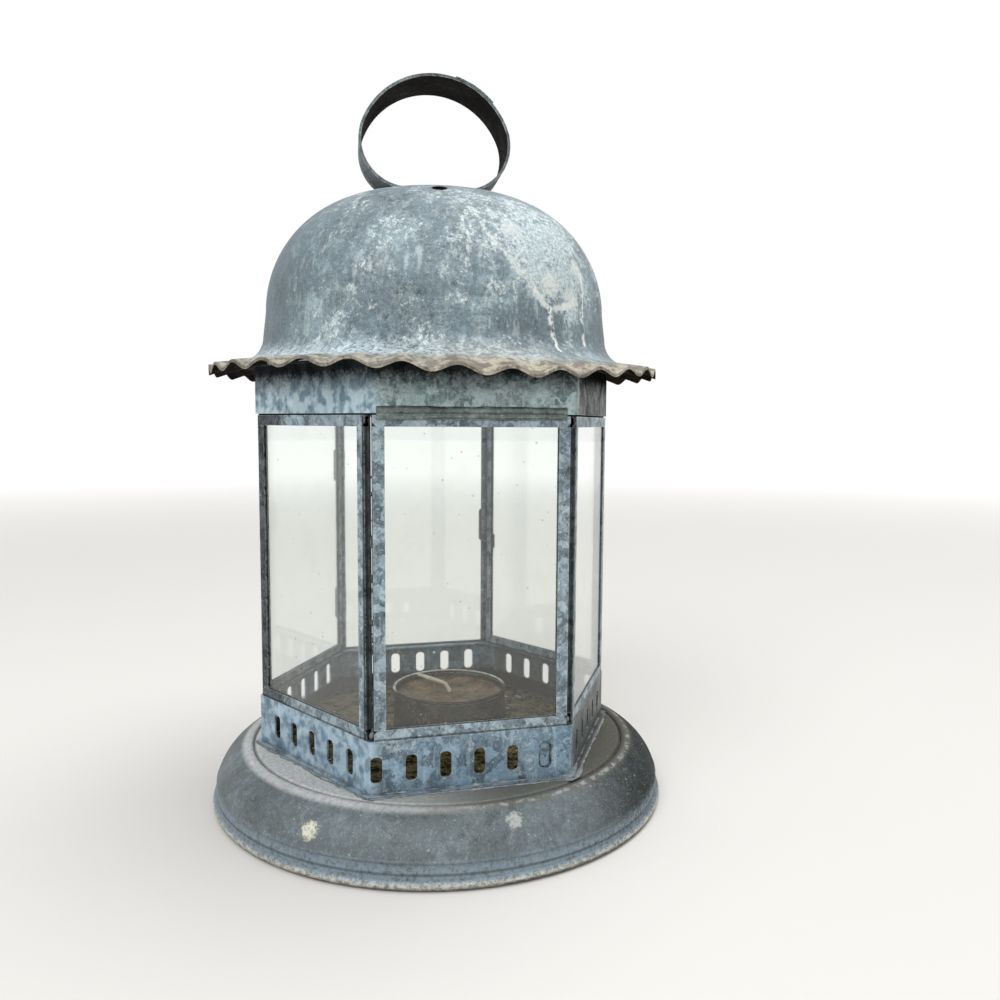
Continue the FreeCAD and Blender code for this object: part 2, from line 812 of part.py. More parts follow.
def make_candle_wick():
    """The spent wick, leaning from the middle of the wax towards the cup's rim."""
    body = new_body("candle_wick")
    root = wax_top - S.wick_root - S.wax_hollow
    lean = wax_top + S.wick_radius
    path = new_sketch(body, "XZ_Plane")
    bend = S.wick_radius * 3
    a, b = numbers((ZERO, root)), numbers((ZERO, lean))
    c = numbers((bend, lean + bend))
    end = numbers((S.wick_reach, lean + S.wick_rise))
    stem = path.addGeometry(Part.LineSegment(a, b), False)
    knee = path.addGeometry(Part.LineSegment(b, c), False)
    arm = path.addGeometry(Part.LineSegment(c, end), False)
    for edge, point in ((stem, (ZERO, root)), (knee, (ZERO, lean)), (arm, (bend, lean + bend))):
        bind(path, "DistanceX", edge, 1, point[0])
        bind(path, "DistanceY", edge, 1, point[1])
    bind(path, "DistanceX", arm, 2, S.wick_reach)
    bind(path, "DistanceY", arm, 2, lean + S.wick_rise)
    path.addConstraint(Sketcher.Constraint("Coincident", stem, 2, knee, 1))
    path.addConstraint(Sketcher.Constraint("Coincident", knee, 2, arm, 1))
    section = new_sketch(body, "XY_Plane", root)
    circle(section, (ZERO, ZERO), S.wick_radius)
    pipe = body.newObject("PartDesign::AdditivePipe", "candle_wick_pipe")
    pipe.Profile = section
    pipe.Spine = (path, ["Edge1", "Edge2", "Edge3"])
    pipe.Transition = "Right corner"
    body.Placement.Rotation = turned(WICK_TURN)
    set_beside(body)


# The ring seat under the roof.
def make_roof_seat():
    body = new_body("roof_seat")
    rim = wall_foot_radius - S.roof_thickness - S.seat_play
    section = new_sketch(body, "XZ_Plane")
    top = collar_top + S.seat_thickness
    hole = S.corner_radius - S.seat_hole_margin
    draw(section, (hole, collar_top), [
        line_to((rim, collar_top)),
        line_to((rim, top + S.seat_rim_rise)),
        line_to((rim - S.seat_thickness, top + S.seat_rim_rise)),
        line_to((rim - S.seat_thickness, top)),
        line_to((hole, top)),
        line_to((hole, collar_top)),
    ])
    revolve(body, section)
    set_off(body)


# The roof, spun in one piece, with its fluted skirt.
def roof_section():
    """The outline of the roof's sheet from the crown to the root of the skirt."""
    t = SIZES["roof_thickness"]
    crown = SIZES["crown_radius"]
    shoulder = SIZES["roof_shoulder"]
    crown_z = roof_top.number - crown
    shoulder_x = wall_top_radius.number - shoulder
    lean = math.asin(shoulder_x / (crown - shoulder))
    shoulder_z = wall_top_height.number
    cove = SIZES["cove_radius"]
    foot = wall_foot_radius.number
    cove_x, cove_z = foot + cove, wall_foot_height.number
    end = math.radians(270 - SKIRT_FALL)
    hole = SIZES["rivet_radius"] + SIZES["rivet_hole_play"]

    def on_arc(x, z, radius, angle):
        return V(x + radius * math.cos(angle), 0, z + radius * math.sin(angle))

    def arc(x, z, radius, start, stop):
        points = [on_arc(x, z, radius, start + (stop - start) * share) for share in (0, HALF, 1)]
        return Part.Arc(*points).toShape()

    def skin(depth):
        """One face of the sheet, this far under its outer face."""
        top_angle = math.acos(hole / (crown - depth))
        upper = arc(0, crown_z, crown - depth, top_angle, math.pi / 2 - lean)
        side = arc(shoulder_x, shoulder_z, shoulder - depth, math.pi / 2 - lean, 0)
        low = arc(cove_x, cove_z, cove + depth, math.pi, end)
        wall = Part.LineSegment(V(wall_top_radius.number - depth, 0, shoulder_z),
                                V(foot - depth, 0, cove_z)).toShape()
        return [upper, side, wall, low]

    outer, inner = skin(0), skin(t)
    root_outer = on_arc(cove_x, cove_z, cove, end)
    drop = t / math.cos(math.radians(SKIRT_FALL))
    root_inner = root_outer - V(0, 0, drop)
    last = on_arc(cove_x, cove_z, cove + t, end)
    top_angle = math.acos(hole / crown)
    under_angle = math.acos(hole / (crown - t))
    edges = outer + inner + [
        Part.LineSegment(root_outer, root_inner).toShape(),
        Part.LineSegment(root_inner, last).toShape(),
        Part.LineSegment(on_arc(0, crown_z, crown, top_angle),
                         on_arc(0, crown_z, crown - t, under_angle)).toShape(),
    ]
    wire = Part.Wire(Part.__sortEdges__(edges))
    return Part.Face(wire), root_outer, drop


def fluted_skirt(root, drop):
    """The crimped rim: level where it leaves the cove, in waves at its edge."""
    count = FLUTES * POINTS_PER_FLUTE
    reach = wall_foot_radius.number + SIZES["skirt_reach"]
    level = root.z - (reach - root.x) * math.tan(math.radians(SKIRT_FALL))
    turn = math.radians(FLUTE_TURN)
    angles = [turn + math.tau * k / count for k in range(count)]

    def droop(angle):
        """The rim is bent down a little over one stretch of its front."""
        away = math.degrees(angle) - DROOP_TURN
        away -= 360 * round(away / 360)
        share = max(0, 1 - abs(away) / DROOP_SPREAD)
        return SIZES["skirt_droop"] * share * share * (3 - 2 * share)

    def rim(lower):
        points = [V(reach * math.cos(a), reach * math.sin(a),
                    level - SIZES["flute_rise"] * math.cos(FLUTES * (a - turn)) - droop(a) - lower)
                  for a in angles]
        curve = Part.BSplineCurve()
        curve.interpolate(Points=points, PeriodicFlag=True)
        return Part.Wire([curve.toShape()])

    def ring(lower):
        axis = V(0, 0, 1)
        circle_edge = Part.makeCircle(root.x, V(0, 0, root.z - lower), axis)
        circle_edge.rotate(V(0, 0, 0), axis, FLUTE_TURN)
        return Part.Wire([circle_edge])

    loops = [ring(0), rim(0), rim(drop), ring(drop), ring(0)]
    faces = []
    for a, b in zip(loops[:-1], loops[1:]):
        faces.extend(Part.makeLoft([a, b], False, True).Faces)
    shell = Part.makeShell(faces)
    shell.sewShape()
    solid = Part.Solid(shell)
    if solid.Volume < 0:
        solid.reverse()
    return solid


def make_dome_roof():
    face, root, drop = roof_section()
    dome = face.revolve(V(0, 0, 0), V(0, 0, 1), 360)
    roof = dome.fuse(fluted_skirt(root, drop))
    # The vent holes are punched square to the shoulder.
    shoulder_x = wall_top_radius.number - SIZES["roof_shoulder"]
    tilt = math.acos((SIZES["vent_circle"] - shoulder_x) / SIZES["roof_shoulder"])
    depth = SIZES["roof_thickness"] + 2 * SIZES["overrun"]
    start = SIZES["roof_shoulder"] - SIZES["roof_thickness"] - SIZES["overrun"]
    for k in range(VENTS):
        turn = turned(VENT_TURN + 360 / VENTS * k)
        direction = turn.multVec(V(math.cos(tilt), 0, math.sin(tilt)))
        centre = turn.multVec(V(shoulder_x, 0, 0)) + V(0, 0, wall_top_height.number)
        punch = Part.makeCylinder(SIZES["vent_radius"], depth, centre + direction * start, direction)
        roof = roof.cut(punch)
    obj = doc.addObject("Part::Feature", "dome_roof")
    obj.Label = "dome_roof"
    obj.Shape = roof
    set_off(obj)


# The ring handle, a strip bent round and flattened where it stands on the crown.
def make_ring_handle():
    """A strip bent to a flattened ring, riveted a little beside the middle of its foot."""
    body = new_body("ring_handle")
    spread = S.handle_top_radius - S.handle_side_radius
    side_x = spread * math.cos(math.radians(HANDLE_SWEEP))
    side_z = roof_top + S.handle_side_radius
    middle = -S.handle_offset
    top_z = side_z - spread * math.sin(math.radians(HANDLE_SWEEP))
    section = new_sketch(body, "XZ_Plane")
    for depth in (ZERO, S.handle_thickness):
        side = S.handle_side_radius - depth
        top = S.handle_top_radius - depth
        foot = side_z - side
        right = shifted((middle + side_x, side_z), polar(side, HANDLE_SWEEP))
        left = shifted((middle - side_x, side_z), polar(side, 180 - HANDLE_SWEEP))
        draw(section, (middle - side_x, foot), [
            line_to((middle + side_x, foot)),
            arc_to(right, side, 1),
            arc_to(left, top, 1),
            arc_to((middle - side_x, foot), side, 1),
        ])
    pad(body, section, S.handle_width, middle=True)
    # The end of the strip laps over its beginning, near the top.
    end = HANDLE_LAP_END
    start = end - math.degrees(S.handle_lap_length.number / S.handle_top_radius.number)
    lap = new_sketch(body, "XZ_Plane")
    centre = (middle, top_z)
    inner = S.handle_top_radius - S.handle_thickness * HALF
    outer = S.handle_top_radius + S.handle_thickness * HALF
    draw(lap, shifted(centre, polar(inner, start)), [
        line_to(shifted(centre, polar(outer, start))),
        arc_to(shifted(centre, polar(outer, end)), outer, 1),
        line_to(shifted(centre, polar(inner, end))),
        arc_to(shifted(centre, polar(inner, start)), inner, -1),
    ])
    pad(body, lap, S.handle_width, middle=True)
    bore = new_sketch(body, "XY_Plane", roof_top - S.overrun)
    circle(bore, (ZERO, ZERO), S.rivet_radius + S.rivet_hole_play)
    pocket(body, bore, S.handle_thickness + S.overrun * 2, reverse=True)
    body.Placement.Rotation = turned(HANDLE_TURN)
    set_off(body)


def make_handle_rivet():
    body = new_body("handle_rivet")
    under = roof_top - S.roof_thickness - S.rivet_head_play
    over = roof_top + S.handle_thickness
    section = new_sketch(body, "XZ_Plane")
    draw(section, (ZERO, under - S.rivet_head_height), [
        line_to((S.rivet_head_radius, under - S.rivet_head_height)),
        line_to((S.rivet_head_radius, under)),
        line_to((S.rivet_radius, under)),
        line_to((S.rivet_radius, over)),
        line_to((S.rivet_head_radius, over)),
        arc_to((S.rivet_head_radius * HALF, over + S.rivet_head_height), S.rivet_head_radius, 1),
        line_to((ZERO, over + S.rivet_head_height)),
        line_to((ZERO, under - S.rivet_head_height)),
    ])
    revolve(body, section)
    set_off(body)


# The solder that shows: a fillet round the foot of the gallery and a seam over the front rail.
def make_foot_solder():
    body = new_body("foot_solder")
    level = S.base_height + S.band_thickness
    section = new_sketch(body, "XY_Plane", level)
    hexagon(section, S.corner_radius + S.solder_size * (1 / COS30))
    hexagon(section, S.corner_radius)
    pad(body, section, S.solder_size * HALF)


def make_corner_solder():
    """Solder run into the four grooves between neighbouring fixed panels."""
    beads = []
    for number, angle in enumerate((-120, -60, 0, 180)):
        body = new_body(f"corner_bead_{number + 1}")
        section = new_sketch(body, "XY_Plane", gallery_top)
        near = S.corner_radius - S.groove_depth
        tip = near - S.groove_fill
        spread = S.corner_clearance * COS30 - S.groove_depth * TAN30
        draw(section, (tip, ZERO), [
            line_to((near, -spread)),
            line_to((near, spread)),
            line_to((tip, ZERO)),
        ])
        pad(body, section, S.panel_height)
        body.Placement.Rotation = turned(angle)
        beads.append(body)
    return join_group("corner_solder", beads)


def make_front_seam():
    body = new_body("front_seam_solder")
    reach = panel_width * HALF - S.rail_snip
    middle = panel_top
    section = new_sketch(body, "YZ_Plane", -reach)
    face = -apothem
    half = S.seam_height * HALF
    draw(section, (face, middle - half * HALF), [
        line_to((face, middle + half)),
        line_to((face - S.seam_depth * HALF, middle + half)),
        line_to((face - S.seam_depth, middle)),
        line_to((face - S.seam_depth * HALF, middle - half * HALF)),
        line_to((face, middle - half * HALF)),
    ])
    pad(body, section, reach * 2)


make_base_pan()
make_base_edge_wire()
make_gallery_band()
make_collar_band()
# The two rear corners have narrower channels, so that the posts there look thin.
broad, narrow = S.stile_face, S.rear_stile_face
for prefix, degrees, left_flange, right_flange in (
        ("front", 0, broad, broad),
        ("front_right", 60, broad, broad),
        ("rear_right", 120, broad, narrow),
        ("rear_left", 240, narrow, broad),
        ("front_left", 300, broad, broad)):
    make_panel(prefix, ("left", left_flange), ("right", right_flange),
               panel_width, gallery_top, S.panel_height, apothem, degrees)
make_panel("door", ("latch", S.door_stile_face), ("hinge", S.door_stile_face),
           door_width, door_foot, door_height, door_face, REAR)
make_hinge_leaf("hinge_body_leaves", False)
make_hinge_leaf("hinge_door_leaves", True)
make_hinge_pins()
make_latch_stud()
make_latch_bar()
make_latch_keeper()
make_candle_cup()
make_candle_stub()
make_candle_wick()
make_roof_seat()
make_dome_roof()
make_ring_handle()
make_handle_rivet()
make_foot_solder()
make_corner_solder()
make_front_seam()

doc.recompute()
os.makedirs("parts", exist_ok=True)
grouped = {member.Name for group in doc.Objects if group.TypeId == "Part::Compound"
           for member in group.Links}
SUBPART_TYPES = ("PartDesign::Body", "Part::Compound", "Part::Feature")
subparts = [o for o in doc.Objects if o.TypeId in SUBPART_TYPES and o.Name not in grouped]
for obj in doc.Objects:
    if "Invalid" in obj.State or "Error" in obj.State:
        raise RuntimeError(f"{obj.Name} failed to compute")
for obj in subparts:
    if obj.Shape.isNull() or not obj.Shape.isValid() or not obj.Shape.Solids:
        raise RuntimeError(f"{obj.Label} has no valid solid")
for obj in subparts:
    obj.Shape.exportStep(f"parts/{obj.Label}.step")
    box = obj.Shape.BoundBox
    print(f"{obj.Label:26s} solids {len(obj.Shape.Solids)} volume {obj.Shape.Volume:9.1f} "
          f"x {box.XMin:7.2f} {box.XMax:7.2f} y {box.YMin:7.2f} {box.YMax:7.2f} "
          f"z {box.ZMin:7.2f} {box.ZMax:7.2f}")
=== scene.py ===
# %% [markdown]
# # A glazed tin candle lantern
# The lantern's sheet metal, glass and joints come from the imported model. This lesson
# gives each of them its finish, adds the small uneven things that no sheet-metal drawing
# holds, and sets the lantern on a pale floor under soft light. Everything is in metres,
# with the lantern's axis on the Z axis and the front pane towards -Y.

import math

import bpy
import bmesh
import numpy as np
from mathutils import Matrix, Vector, noise


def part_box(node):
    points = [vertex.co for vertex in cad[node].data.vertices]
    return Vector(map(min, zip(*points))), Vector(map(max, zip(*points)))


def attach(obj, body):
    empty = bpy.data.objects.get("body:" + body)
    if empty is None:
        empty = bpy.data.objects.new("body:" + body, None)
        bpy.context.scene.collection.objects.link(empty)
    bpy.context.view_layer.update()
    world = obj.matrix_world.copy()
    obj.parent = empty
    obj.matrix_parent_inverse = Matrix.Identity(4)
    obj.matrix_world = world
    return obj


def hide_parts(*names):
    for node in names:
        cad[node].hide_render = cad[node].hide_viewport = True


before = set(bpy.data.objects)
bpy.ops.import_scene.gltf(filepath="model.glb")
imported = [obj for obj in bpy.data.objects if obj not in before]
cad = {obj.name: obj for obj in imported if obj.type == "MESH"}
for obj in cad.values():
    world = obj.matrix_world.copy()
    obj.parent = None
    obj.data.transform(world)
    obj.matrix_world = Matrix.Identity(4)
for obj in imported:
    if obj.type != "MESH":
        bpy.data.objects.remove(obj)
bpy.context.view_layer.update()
MM = 0.001

# %% [markdown]
# ## Places on the lantern
# A finish or a new piece has to meet the metal that carries it. The real lantern's maker
# would measure from a corner or an edge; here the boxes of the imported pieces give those
# measures, so nothing has to be fitted by eye. `heading` is a direction on the level, in
# degrees, from which the six corners and the six faces follow.

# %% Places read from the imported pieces
def corners_of(node):
    """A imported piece's lowest and highest corner, in millimetres."""
    return [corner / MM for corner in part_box(node)]


def heading(degrees):
    return Vector((math.cos(math.radians(degrees)), math.sin(math.radians(degrees)), 0))


CORNER_RADIUS = corners_of("collar_band")[1].x
PLATE_TOP = corners_of("gallery_band")[0].z
COLLAR_FOOT = corners_of("collar_band")[0].z
cup_low, cup_high = corners_of("candle_cup")
CUP_CENTRE = (cup_low + cup_high) / 2
for place, measure in (("corners", CORNER_RADIUS), ("floor", PLATE_TOP), ("collar's foot", COLLAR_FOOT)):
    print(place, "at", round(measure, 2), "mm")
print("cup's centre at", round(CUP_CENTRE.x, 2), round(CUP_CENTRE.y, 2), "mm")

# %% [markdown]
# ## The camera
# The photograph was taken from a little left of the front pane, about level with the
# foot of the collar, by a wide lens held close. A camera is a place, three turns and a
# focal length. Blender could track it to an empty; here the turns are written as the
# picture's own right, down and forward directions, so that each can be read off.

# %% Camera
EYE = Vector((-58.7, -309.8, 132.5)) * MM
YAW, PITCH, ROLL = (math.radians(a) for a in (14.71, -5.10, -0.36))
LENS_MM = 31.25
NEAREST = 10 * MM

forward = Vector((math.sin(YAW) * math.cos(PITCH), math.cos(YAW) * math.cos(PITCH), math.sin(PITCH)))
level = Vector((math.cos(YAW), -math.sin(YAW), 0))
down = forward.cross(level)
right = level * math.cos(ROLL) + down * math.sin(ROLL)
down = down * math.cos(ROLL) - level * math.sin(ROLL)

camera = bpy.data.objects.new("camera", bpy.data.cameras.new("camera"))
bpy.context.scene.collection.objects.link(camera)
camera.matrix_world = Matrix((
    (right.x, -down.x, -forward.x, EYE.x),
    (right.y, -down.y, -forward.y, EYE.y),
    (right.z, -down.z, -forward.z, EYE.z),
    (0, 0, 0, 1),
))
camera.data.lens = LENS_MM
camera.data.clip_start = NEAREST
bpy.context.scene.camera = camera
print("camera looks from", [round(v / MM) for v in EYE])

# %% [markdown]
# ## Colours, sizes and nodes
# A material is a tree of nodes. `add` makes one node, gives it its settings and joins its
# inputs, so every kind of node is made in the same way. `hue` turns a colour as a painter
# writes it, in sRGB hex, into the linear values that the renderer works in. `per_mm`
# turns the size of a pattern on the real sheet into a texture's scale.

# %% Colours, sizes and nodes
def hue(code):
    channels = [int(code[i:i + 2], 16) / 255 for i in (1, 3, 5)]
    return [c / 12.92 if c <= 0.04045 else ((c + 0.055) / 1.055) ** 2.4 for c in channels] + [1.0]


def per_mm(size):
    """The scale at which a texture's features are this many millimetres across."""
    return 1 / (size * MM)


def add(tree, kind, settings=None, **inputs):
    """Adds a node. An input's value may be a number, a colour, a vector or another socket."""
    node = tree.nodes.new("ShaderNode" + kind)
    for name, value in (settings or {}).items():
        setattr(node, name, value)
    for name, value in inputs.items():
        slot = int(name[1:]) if name[0] == "i" and name[1:].isdigit() else name.replace("_", " ")
        if isinstance(value, bpy.types.NodeSocket):
            tree.links.new(value, node.inputs[slot])
        else:
            node.inputs[slot].default_value = value
    return node


def new_material(name):
    material = bpy.data.materials.new(name)
    material.use_nodes = True
    material.node_tree.nodes.clear()
    return material, material.node_tree


# %% [markdown]
# ## Masks
# A coat of dirt or lime lies only in some places. A mask is a value from 0 to 1 that says
# how thick it lies, and most masks are sums of a few measures: how high, how far out, how
# cloudy. These are the sums that the coats below share.

# %% Masks
def calc(tree, operation, first, second=0.0, third=0.0, clamp=False):
    node = add(tree, "Math", {"operation": operation, "use_clamp": clamp}, i0=first, i1=second, i2=third)
    return node.outputs[0]


def both(tree, first, second):
    """A mask where both masks lie."""
    return calc(tree, "MULTIPLY", first, second)


def ramp(tree, value, low, high):
    """0 up to low, 1 from high on, and a smooth step between them, which may fall instead."""
    smooth = {"interpolation_type": "SMOOTHSTEP"}
    return add(tree, "MapRange", smooth, Value=value, From_Min=low, From_Max=high).outputs["Result"]


def rise(tree, distance, low, high):
    """A ramp over a distance, whose two ends are given in millimetres."""
    return ramp(tree, distance, low * MM, high * MM)


def line_at(tree, distance, middle, outer, inner):
    """A line of soft width, all in millimetres: 1 within inner of the middle, 0 past outer."""
    off = calc(tree, "ABSOLUTE", calc(tree, "SUBTRACT", distance, middle * MM))
    return rise(tree, off, outer, inner)


def layer(tree, below, above, amount):
    """Lays one colour over another where amount is 1."""
    node = add(tree, "Mix", {"data_type": "RGBA"}, i0=amount, i6=below, i7=above)
    return node.outputs[2]


def clouds(tree, where, size, detail=4.0, rough=0.55, seed=0.0):
    """Soft noise around 0.5 whose features are size millimetres across."""
    shifted = add(tree, "VectorMath", {"operation": "ADD"}, i0=where, i1=(seed, seed * 0.7, seed * 0.3))
    node = add(tree, "TexNoise", None, Vector=shifted.outputs[0], Scale=per_mm(size), Detail=detail,
               Roughness=rough)
    return node.outputs["Fac"]


# %% [markdown]
# ## Measures on a surface
# The coats ask where they are: how high, how far from the axis, how far along some
# direction, and which way the surface faces. Each is one or two nodes over the object's
# own coordinates, which are the lantern's own metres.

# %% Measures on a surface
def vector(tree, operation, first, second=(0.0, 0.0, 0.0)):
    return add(tree, "VectorMath", {"operation": operation}, i0=first, i1=second).outputs


def along(tree, where, axis):
    """How far along X, Y or Z, numbered 0, 1 and 2."""
    return add(tree, "SeparateXYZ", None, Vector=where).outputs[axis]


def height_of(tree, where):
    return along(tree, where, 2)


def off_axis(tree, where):
    """The place with its height left out."""
    return vector(tree, "MULTIPLY", where, (1.0, 1.0, 0.0))[0]


def radius_of(tree, where):
    """Distance from the lantern's axis."""
    return vector(tree, "LENGTH", off_axis(tree, where))["Value"]


def distance_to(tree, where, point):
    """Distance from a point that is given in millimetres."""
    return vector(tree, "DISTANCE", where, Vector(point) * MM)["Value"]


def reach_towards(tree, where, way):
    """How far out in some direction."""
    return vector(tree, "DOT_PRODUCT", where, way)["Value"]


def facing(tree):
    return add(tree, "TexCoord").outputs["Normal"]


# %% [markdown]
# ## A sheet under its coats
# The lantern is tinplate and galvanised sheet. Fresh zinc is bright; outdoors it grows a
# dull blue-grey patina, rain draws it into streaks, and damp leaves white lime and bloom.
# A painter would lay these as thin coats one over another, and so does this lesson. A
# `Sheet` holds the material's tree, the three patterns that its coats share, and the
# colour, roughness and height that they have reached so far.

# %% A sheet under its coats
GRAIN_SIZE, SAND_SIZE = 0.55, 1.3


class Sheet:
    def __init__(self, name, cloud, seed):
        self.material, self.tree = new_material(name)
        self.where = add(self.tree, "TexCoord").outputs["Object"]
        self.seed = seed
        self.fine = clouds(self.tree, self.where, cloud / 6, 6.0, 0.65, seed + 1.3)
        self.grain = clouds(self.tree, self.where, GRAIN_SIZE, 3.0, 0.6, seed + 2.1)
        self.sand = clouds(self.tree, self.where, SAND_SIZE, 8.0, 0.8, seed + 2.6)

    def lay(self, tint, amount):
        """Lays a tint over the colour so far, where amount is 1."""
        above = hue(tint) if isinstance(tint, str) else tint
        self.colour = layer(self.tree, self.colour, above, amount)

    def ragged(self, mask, low, high):
        """The mask, broken up where the sand pattern is low."""
        return both(self.tree, mask, ramp(self.tree, self.sand, low, high))


def lay_patina(sheet, dark, middle, pale, cloud, rough):
    """Broad clouds broken by finer ones."""
    tree = sheet.tree
    broad = clouds(tree, sheet.where, cloud, 3.0, 0.5, sheet.seed)
    mood = calc(tree, "MULTIPLY_ADD", broad, 0.38, calc(tree, "MULTIPLY", sheet.fine, 0.34))
    mood = calc(tree, "MULTIPLY_ADD", sheet.sand, 0.28, mood)
    sheet.colour = layer(tree, hue(dark), hue(middle), ramp(tree, mood, 0.36, 0.50))
    sheet.lay(pale, ramp(tree, mood, 0.49, 0.62))
    sheet.rough = calc(tree, "MULTIPLY_ADD", sheet.fine, 0.22, rough - 0.11)
    sheet.height = calc(tree, "MULTIPLY", sheet.grain, 0.5)


# %% [markdown]
# ## Spangle
# Zinc cools on the steel in frost-like crystals a few millimetres wide, each with its own
# tone. A Voronoi texture gives one random tone to each cell, and bending its coordinates
# with noise takes away the straight cell walls.

# %% Spangle
def lay_spangle(sheet, dark, pale, size, strength):
    tree = sheet.tree
    warp = add(tree, "TexNoise", None, Vector=sheet.where, Scale=per_mm(size * 0.6), Detail=3.0)
    bent = add(tree, "VectorMath", {"operation": "MULTIPLY_ADD"}, i0=warp.outputs["Color"],
               i1=(size * MM * 0.9,) * 3, i2=sheet.where).outputs[0]
    cells = add(tree, "TexVoronoi", None, Vector=bent, Scale=per_mm(size))
    tone = add(tree, "SeparateColor", None, Color=cells.outputs["Color"]).outputs[0]
    sheet.lay(pale, calc(tree, "MULTIPLY", ramp(tree, tone, 0.35, 1.0), strength))
    sheet.lay(dark, calc(tree, "MULTIPLY", ramp(tree, tone, 0.45, 0.0), strength * 0.75))
    sheet.rough = calc(tree, "ADD", sheet.rough, calc(tree, "MULTIPLY", tone, -0.12))


# %% [markdown]
# ## Streaks and bloom
# Rain runs straight down, so its streaks are noise pressed flat along Z. White bloom lies
# in clouds that are torn into grains, thicker on the damp sides of the piece. Both could
# be painted by hand; noise with real sizes stays right on every side of the lantern.

# %% Streaks and bloom
STREAK_WIDTH, STREAK_PATCH = 2.2, 16.0
BLOOM_SIZE, TORN_SIZE = 11.0, 3.2


def lay_streaks(sheet, tint, strength):
    tree = sheet.tree
    flow = vector(tree, "MULTIPLY", sheet.where, (1.0, 1.0, 0.16))[0]
    runs = clouds(tree, flow, STREAK_WIDTH, 4.0, 0.6, sheet.seed + 3.0)
    patch = clouds(tree, sheet.where, STREAK_PATCH, 2.0, 0.5, sheet.seed + 3.7)
    drawn = both(tree, ramp(tree, runs, 0.52, 0.66), ramp(tree, patch, 0.42, 0.62))
    sheet.lay(tint, calc(tree, "MULTIPLY", drawn, strength))


def lay_bloom(sheet, pale, low, strength, damp_sides):
    """A damp side is a centre, a radius and how much more bloom it has."""
    tree, where, sand = sheet.tree, sheet.where, sheet.sand
    cloudy = clouds(tree, where, BLOOM_SIZE, 8.0, 0.75, sheet.seed + 5.0)
    damp = calc(tree, "MULTIPLY_ADD", sand, 0.30, calc(tree, "MULTIPLY", cloudy, 0.70))
    for centre, radius, more in damp_sides:
        near = rise(tree, distance_to(tree, where, centre), radius, radius * 0.2)
        damp = calc(tree, "MULTIPLY_ADD", near, more, damp)
    torn = clouds(tree, where, TORN_SIZE, 8.0, 0.7, sheet.seed + 6.0)
    thick = calc(tree, "MULTIPLY_ADD", torn, 0.45, damp)
    crust = calc(tree, "MULTIPLY", ramp(tree, thick, 0.745, 0.84), strength)
    crust = both(tree, crust, ramp(tree, sheet.grain, 0.28, 0.50))
    film = calc(tree, "MULTIPLY", ramp(tree, damp, 0.44, 0.66), strength * 0.5)
    crust = calc(tree, "MAXIMUM", crust, film)
    sheet.lay(layer(tree, hue(low), hue(pale), ramp(tree, sand, 0.40, 0.62)), crust)
    sheet.rough = calc(tree, "MULTIPLY_ADD", crust, 0.2, sheet.rough)
    sheet.height = calc(tree, "MULTIPLY_ADD", crust, 0.5, sheet.height)


# %% [markdown]
# ## Lime and white runs
# Where drops dried, lime is thick in its middle and broken up at its edge. Where water
# ran down the dome, it left thin wandering lines. A line's ends are given by angle and
# height, as one would mark them on a round sheet, and the noise makes it sway.

# %% Lime and white runs
RUN_RADIUS = 58.0
RUN_SWAY = 5.0
RUN_HUE = "#e6e9e4"


def lay_lime(sheet, centre, radius, strength, tint):
    tree = sheet.tree
    near = rise(tree, distance_to(tree, sheet.where, centre), radius, radius * 0.25)
    torn = clouds(tree, sheet.where, max(radius / 4, 1.2), 8.0, 0.75, sheet.seed + radius)
    edge = calc(tree, "ADD", near, calc(tree, "MULTIPLY_ADD", torn, 3.2, -1.9))
    patch = calc(tree, "MULTIPLY", ramp(tree, edge, 0.15, 0.75), near, clamp=True)
    patch = calc(tree, "MULTIPLY", patch, strength)
    sheet.lay(tint, patch)
    sheet.rough = calc(tree, "ADD", sheet.rough, calc(tree, "MULTIPLY", patch, 0.2))
    sheet.height = calc(tree, "ADD", sheet.height, calc(tree, "MULTIPLY", patch, 0.6))


def on_round_sheet(sheet):
    """The place, pressed onto a cylinder round the axis and swayed a little by noise."""
    tree = sheet.tree
    outward = vector(tree, "NORMALIZE", off_axis(tree, sheet.where))[0]
    pressed = add(tree, "VectorMath", {"operation": "SCALE"}, i0=outward, Scale=RUN_RADIUS * MM).outputs[0]
    sway = calc(tree, "MULTIPLY_ADD", sheet.fine, RUN_SWAY * MM, -RUN_SWAY / 2 * MM)
    risen = add(tree, "CombineXYZ", None, X=sway, Y=sway, Z=height_of(tree, sheet.where)).outputs[0]
    return vector(tree, "ADD", pressed, risen)[0]


def lay_run(sheet, place, start, end, width, strength):
    """One run between two places, each an angle in degrees and a height in millimetres."""
    tree = sheet.tree
    start, end = ((heading(turn) * RUN_RADIUS + Vector((0, 0, high))) * MM for turn, high in (start, end))
    line = end - start
    offset = vector(tree, "SUBTRACT", place, start)[0]
    share = calc(tree, "MULTIPLY", reach_towards(tree, offset, line / line.length_squared), 1.0, clamp=True)
    nearest = add(tree, "VectorMath", {"operation": "SCALE"}, i0=line, Scale=share).outputs[0]
    away = vector(tree, "DISTANCE", offset, nearest)["Value"]
    away = calc(tree, "ADD", away, width * 0.8 * MM)
    away = calc(tree, "MULTIPLY_ADD", sheet.sand, -width * 1.6 * MM, away)
    mark = calc(tree, "MULTIPLY", rise(tree, away, width, width * 0.3), strength)
    sheet.lay(RUN_HUE, both(tree, mark, ramp(tree, sheet.fine, 0.38, 0.50)))
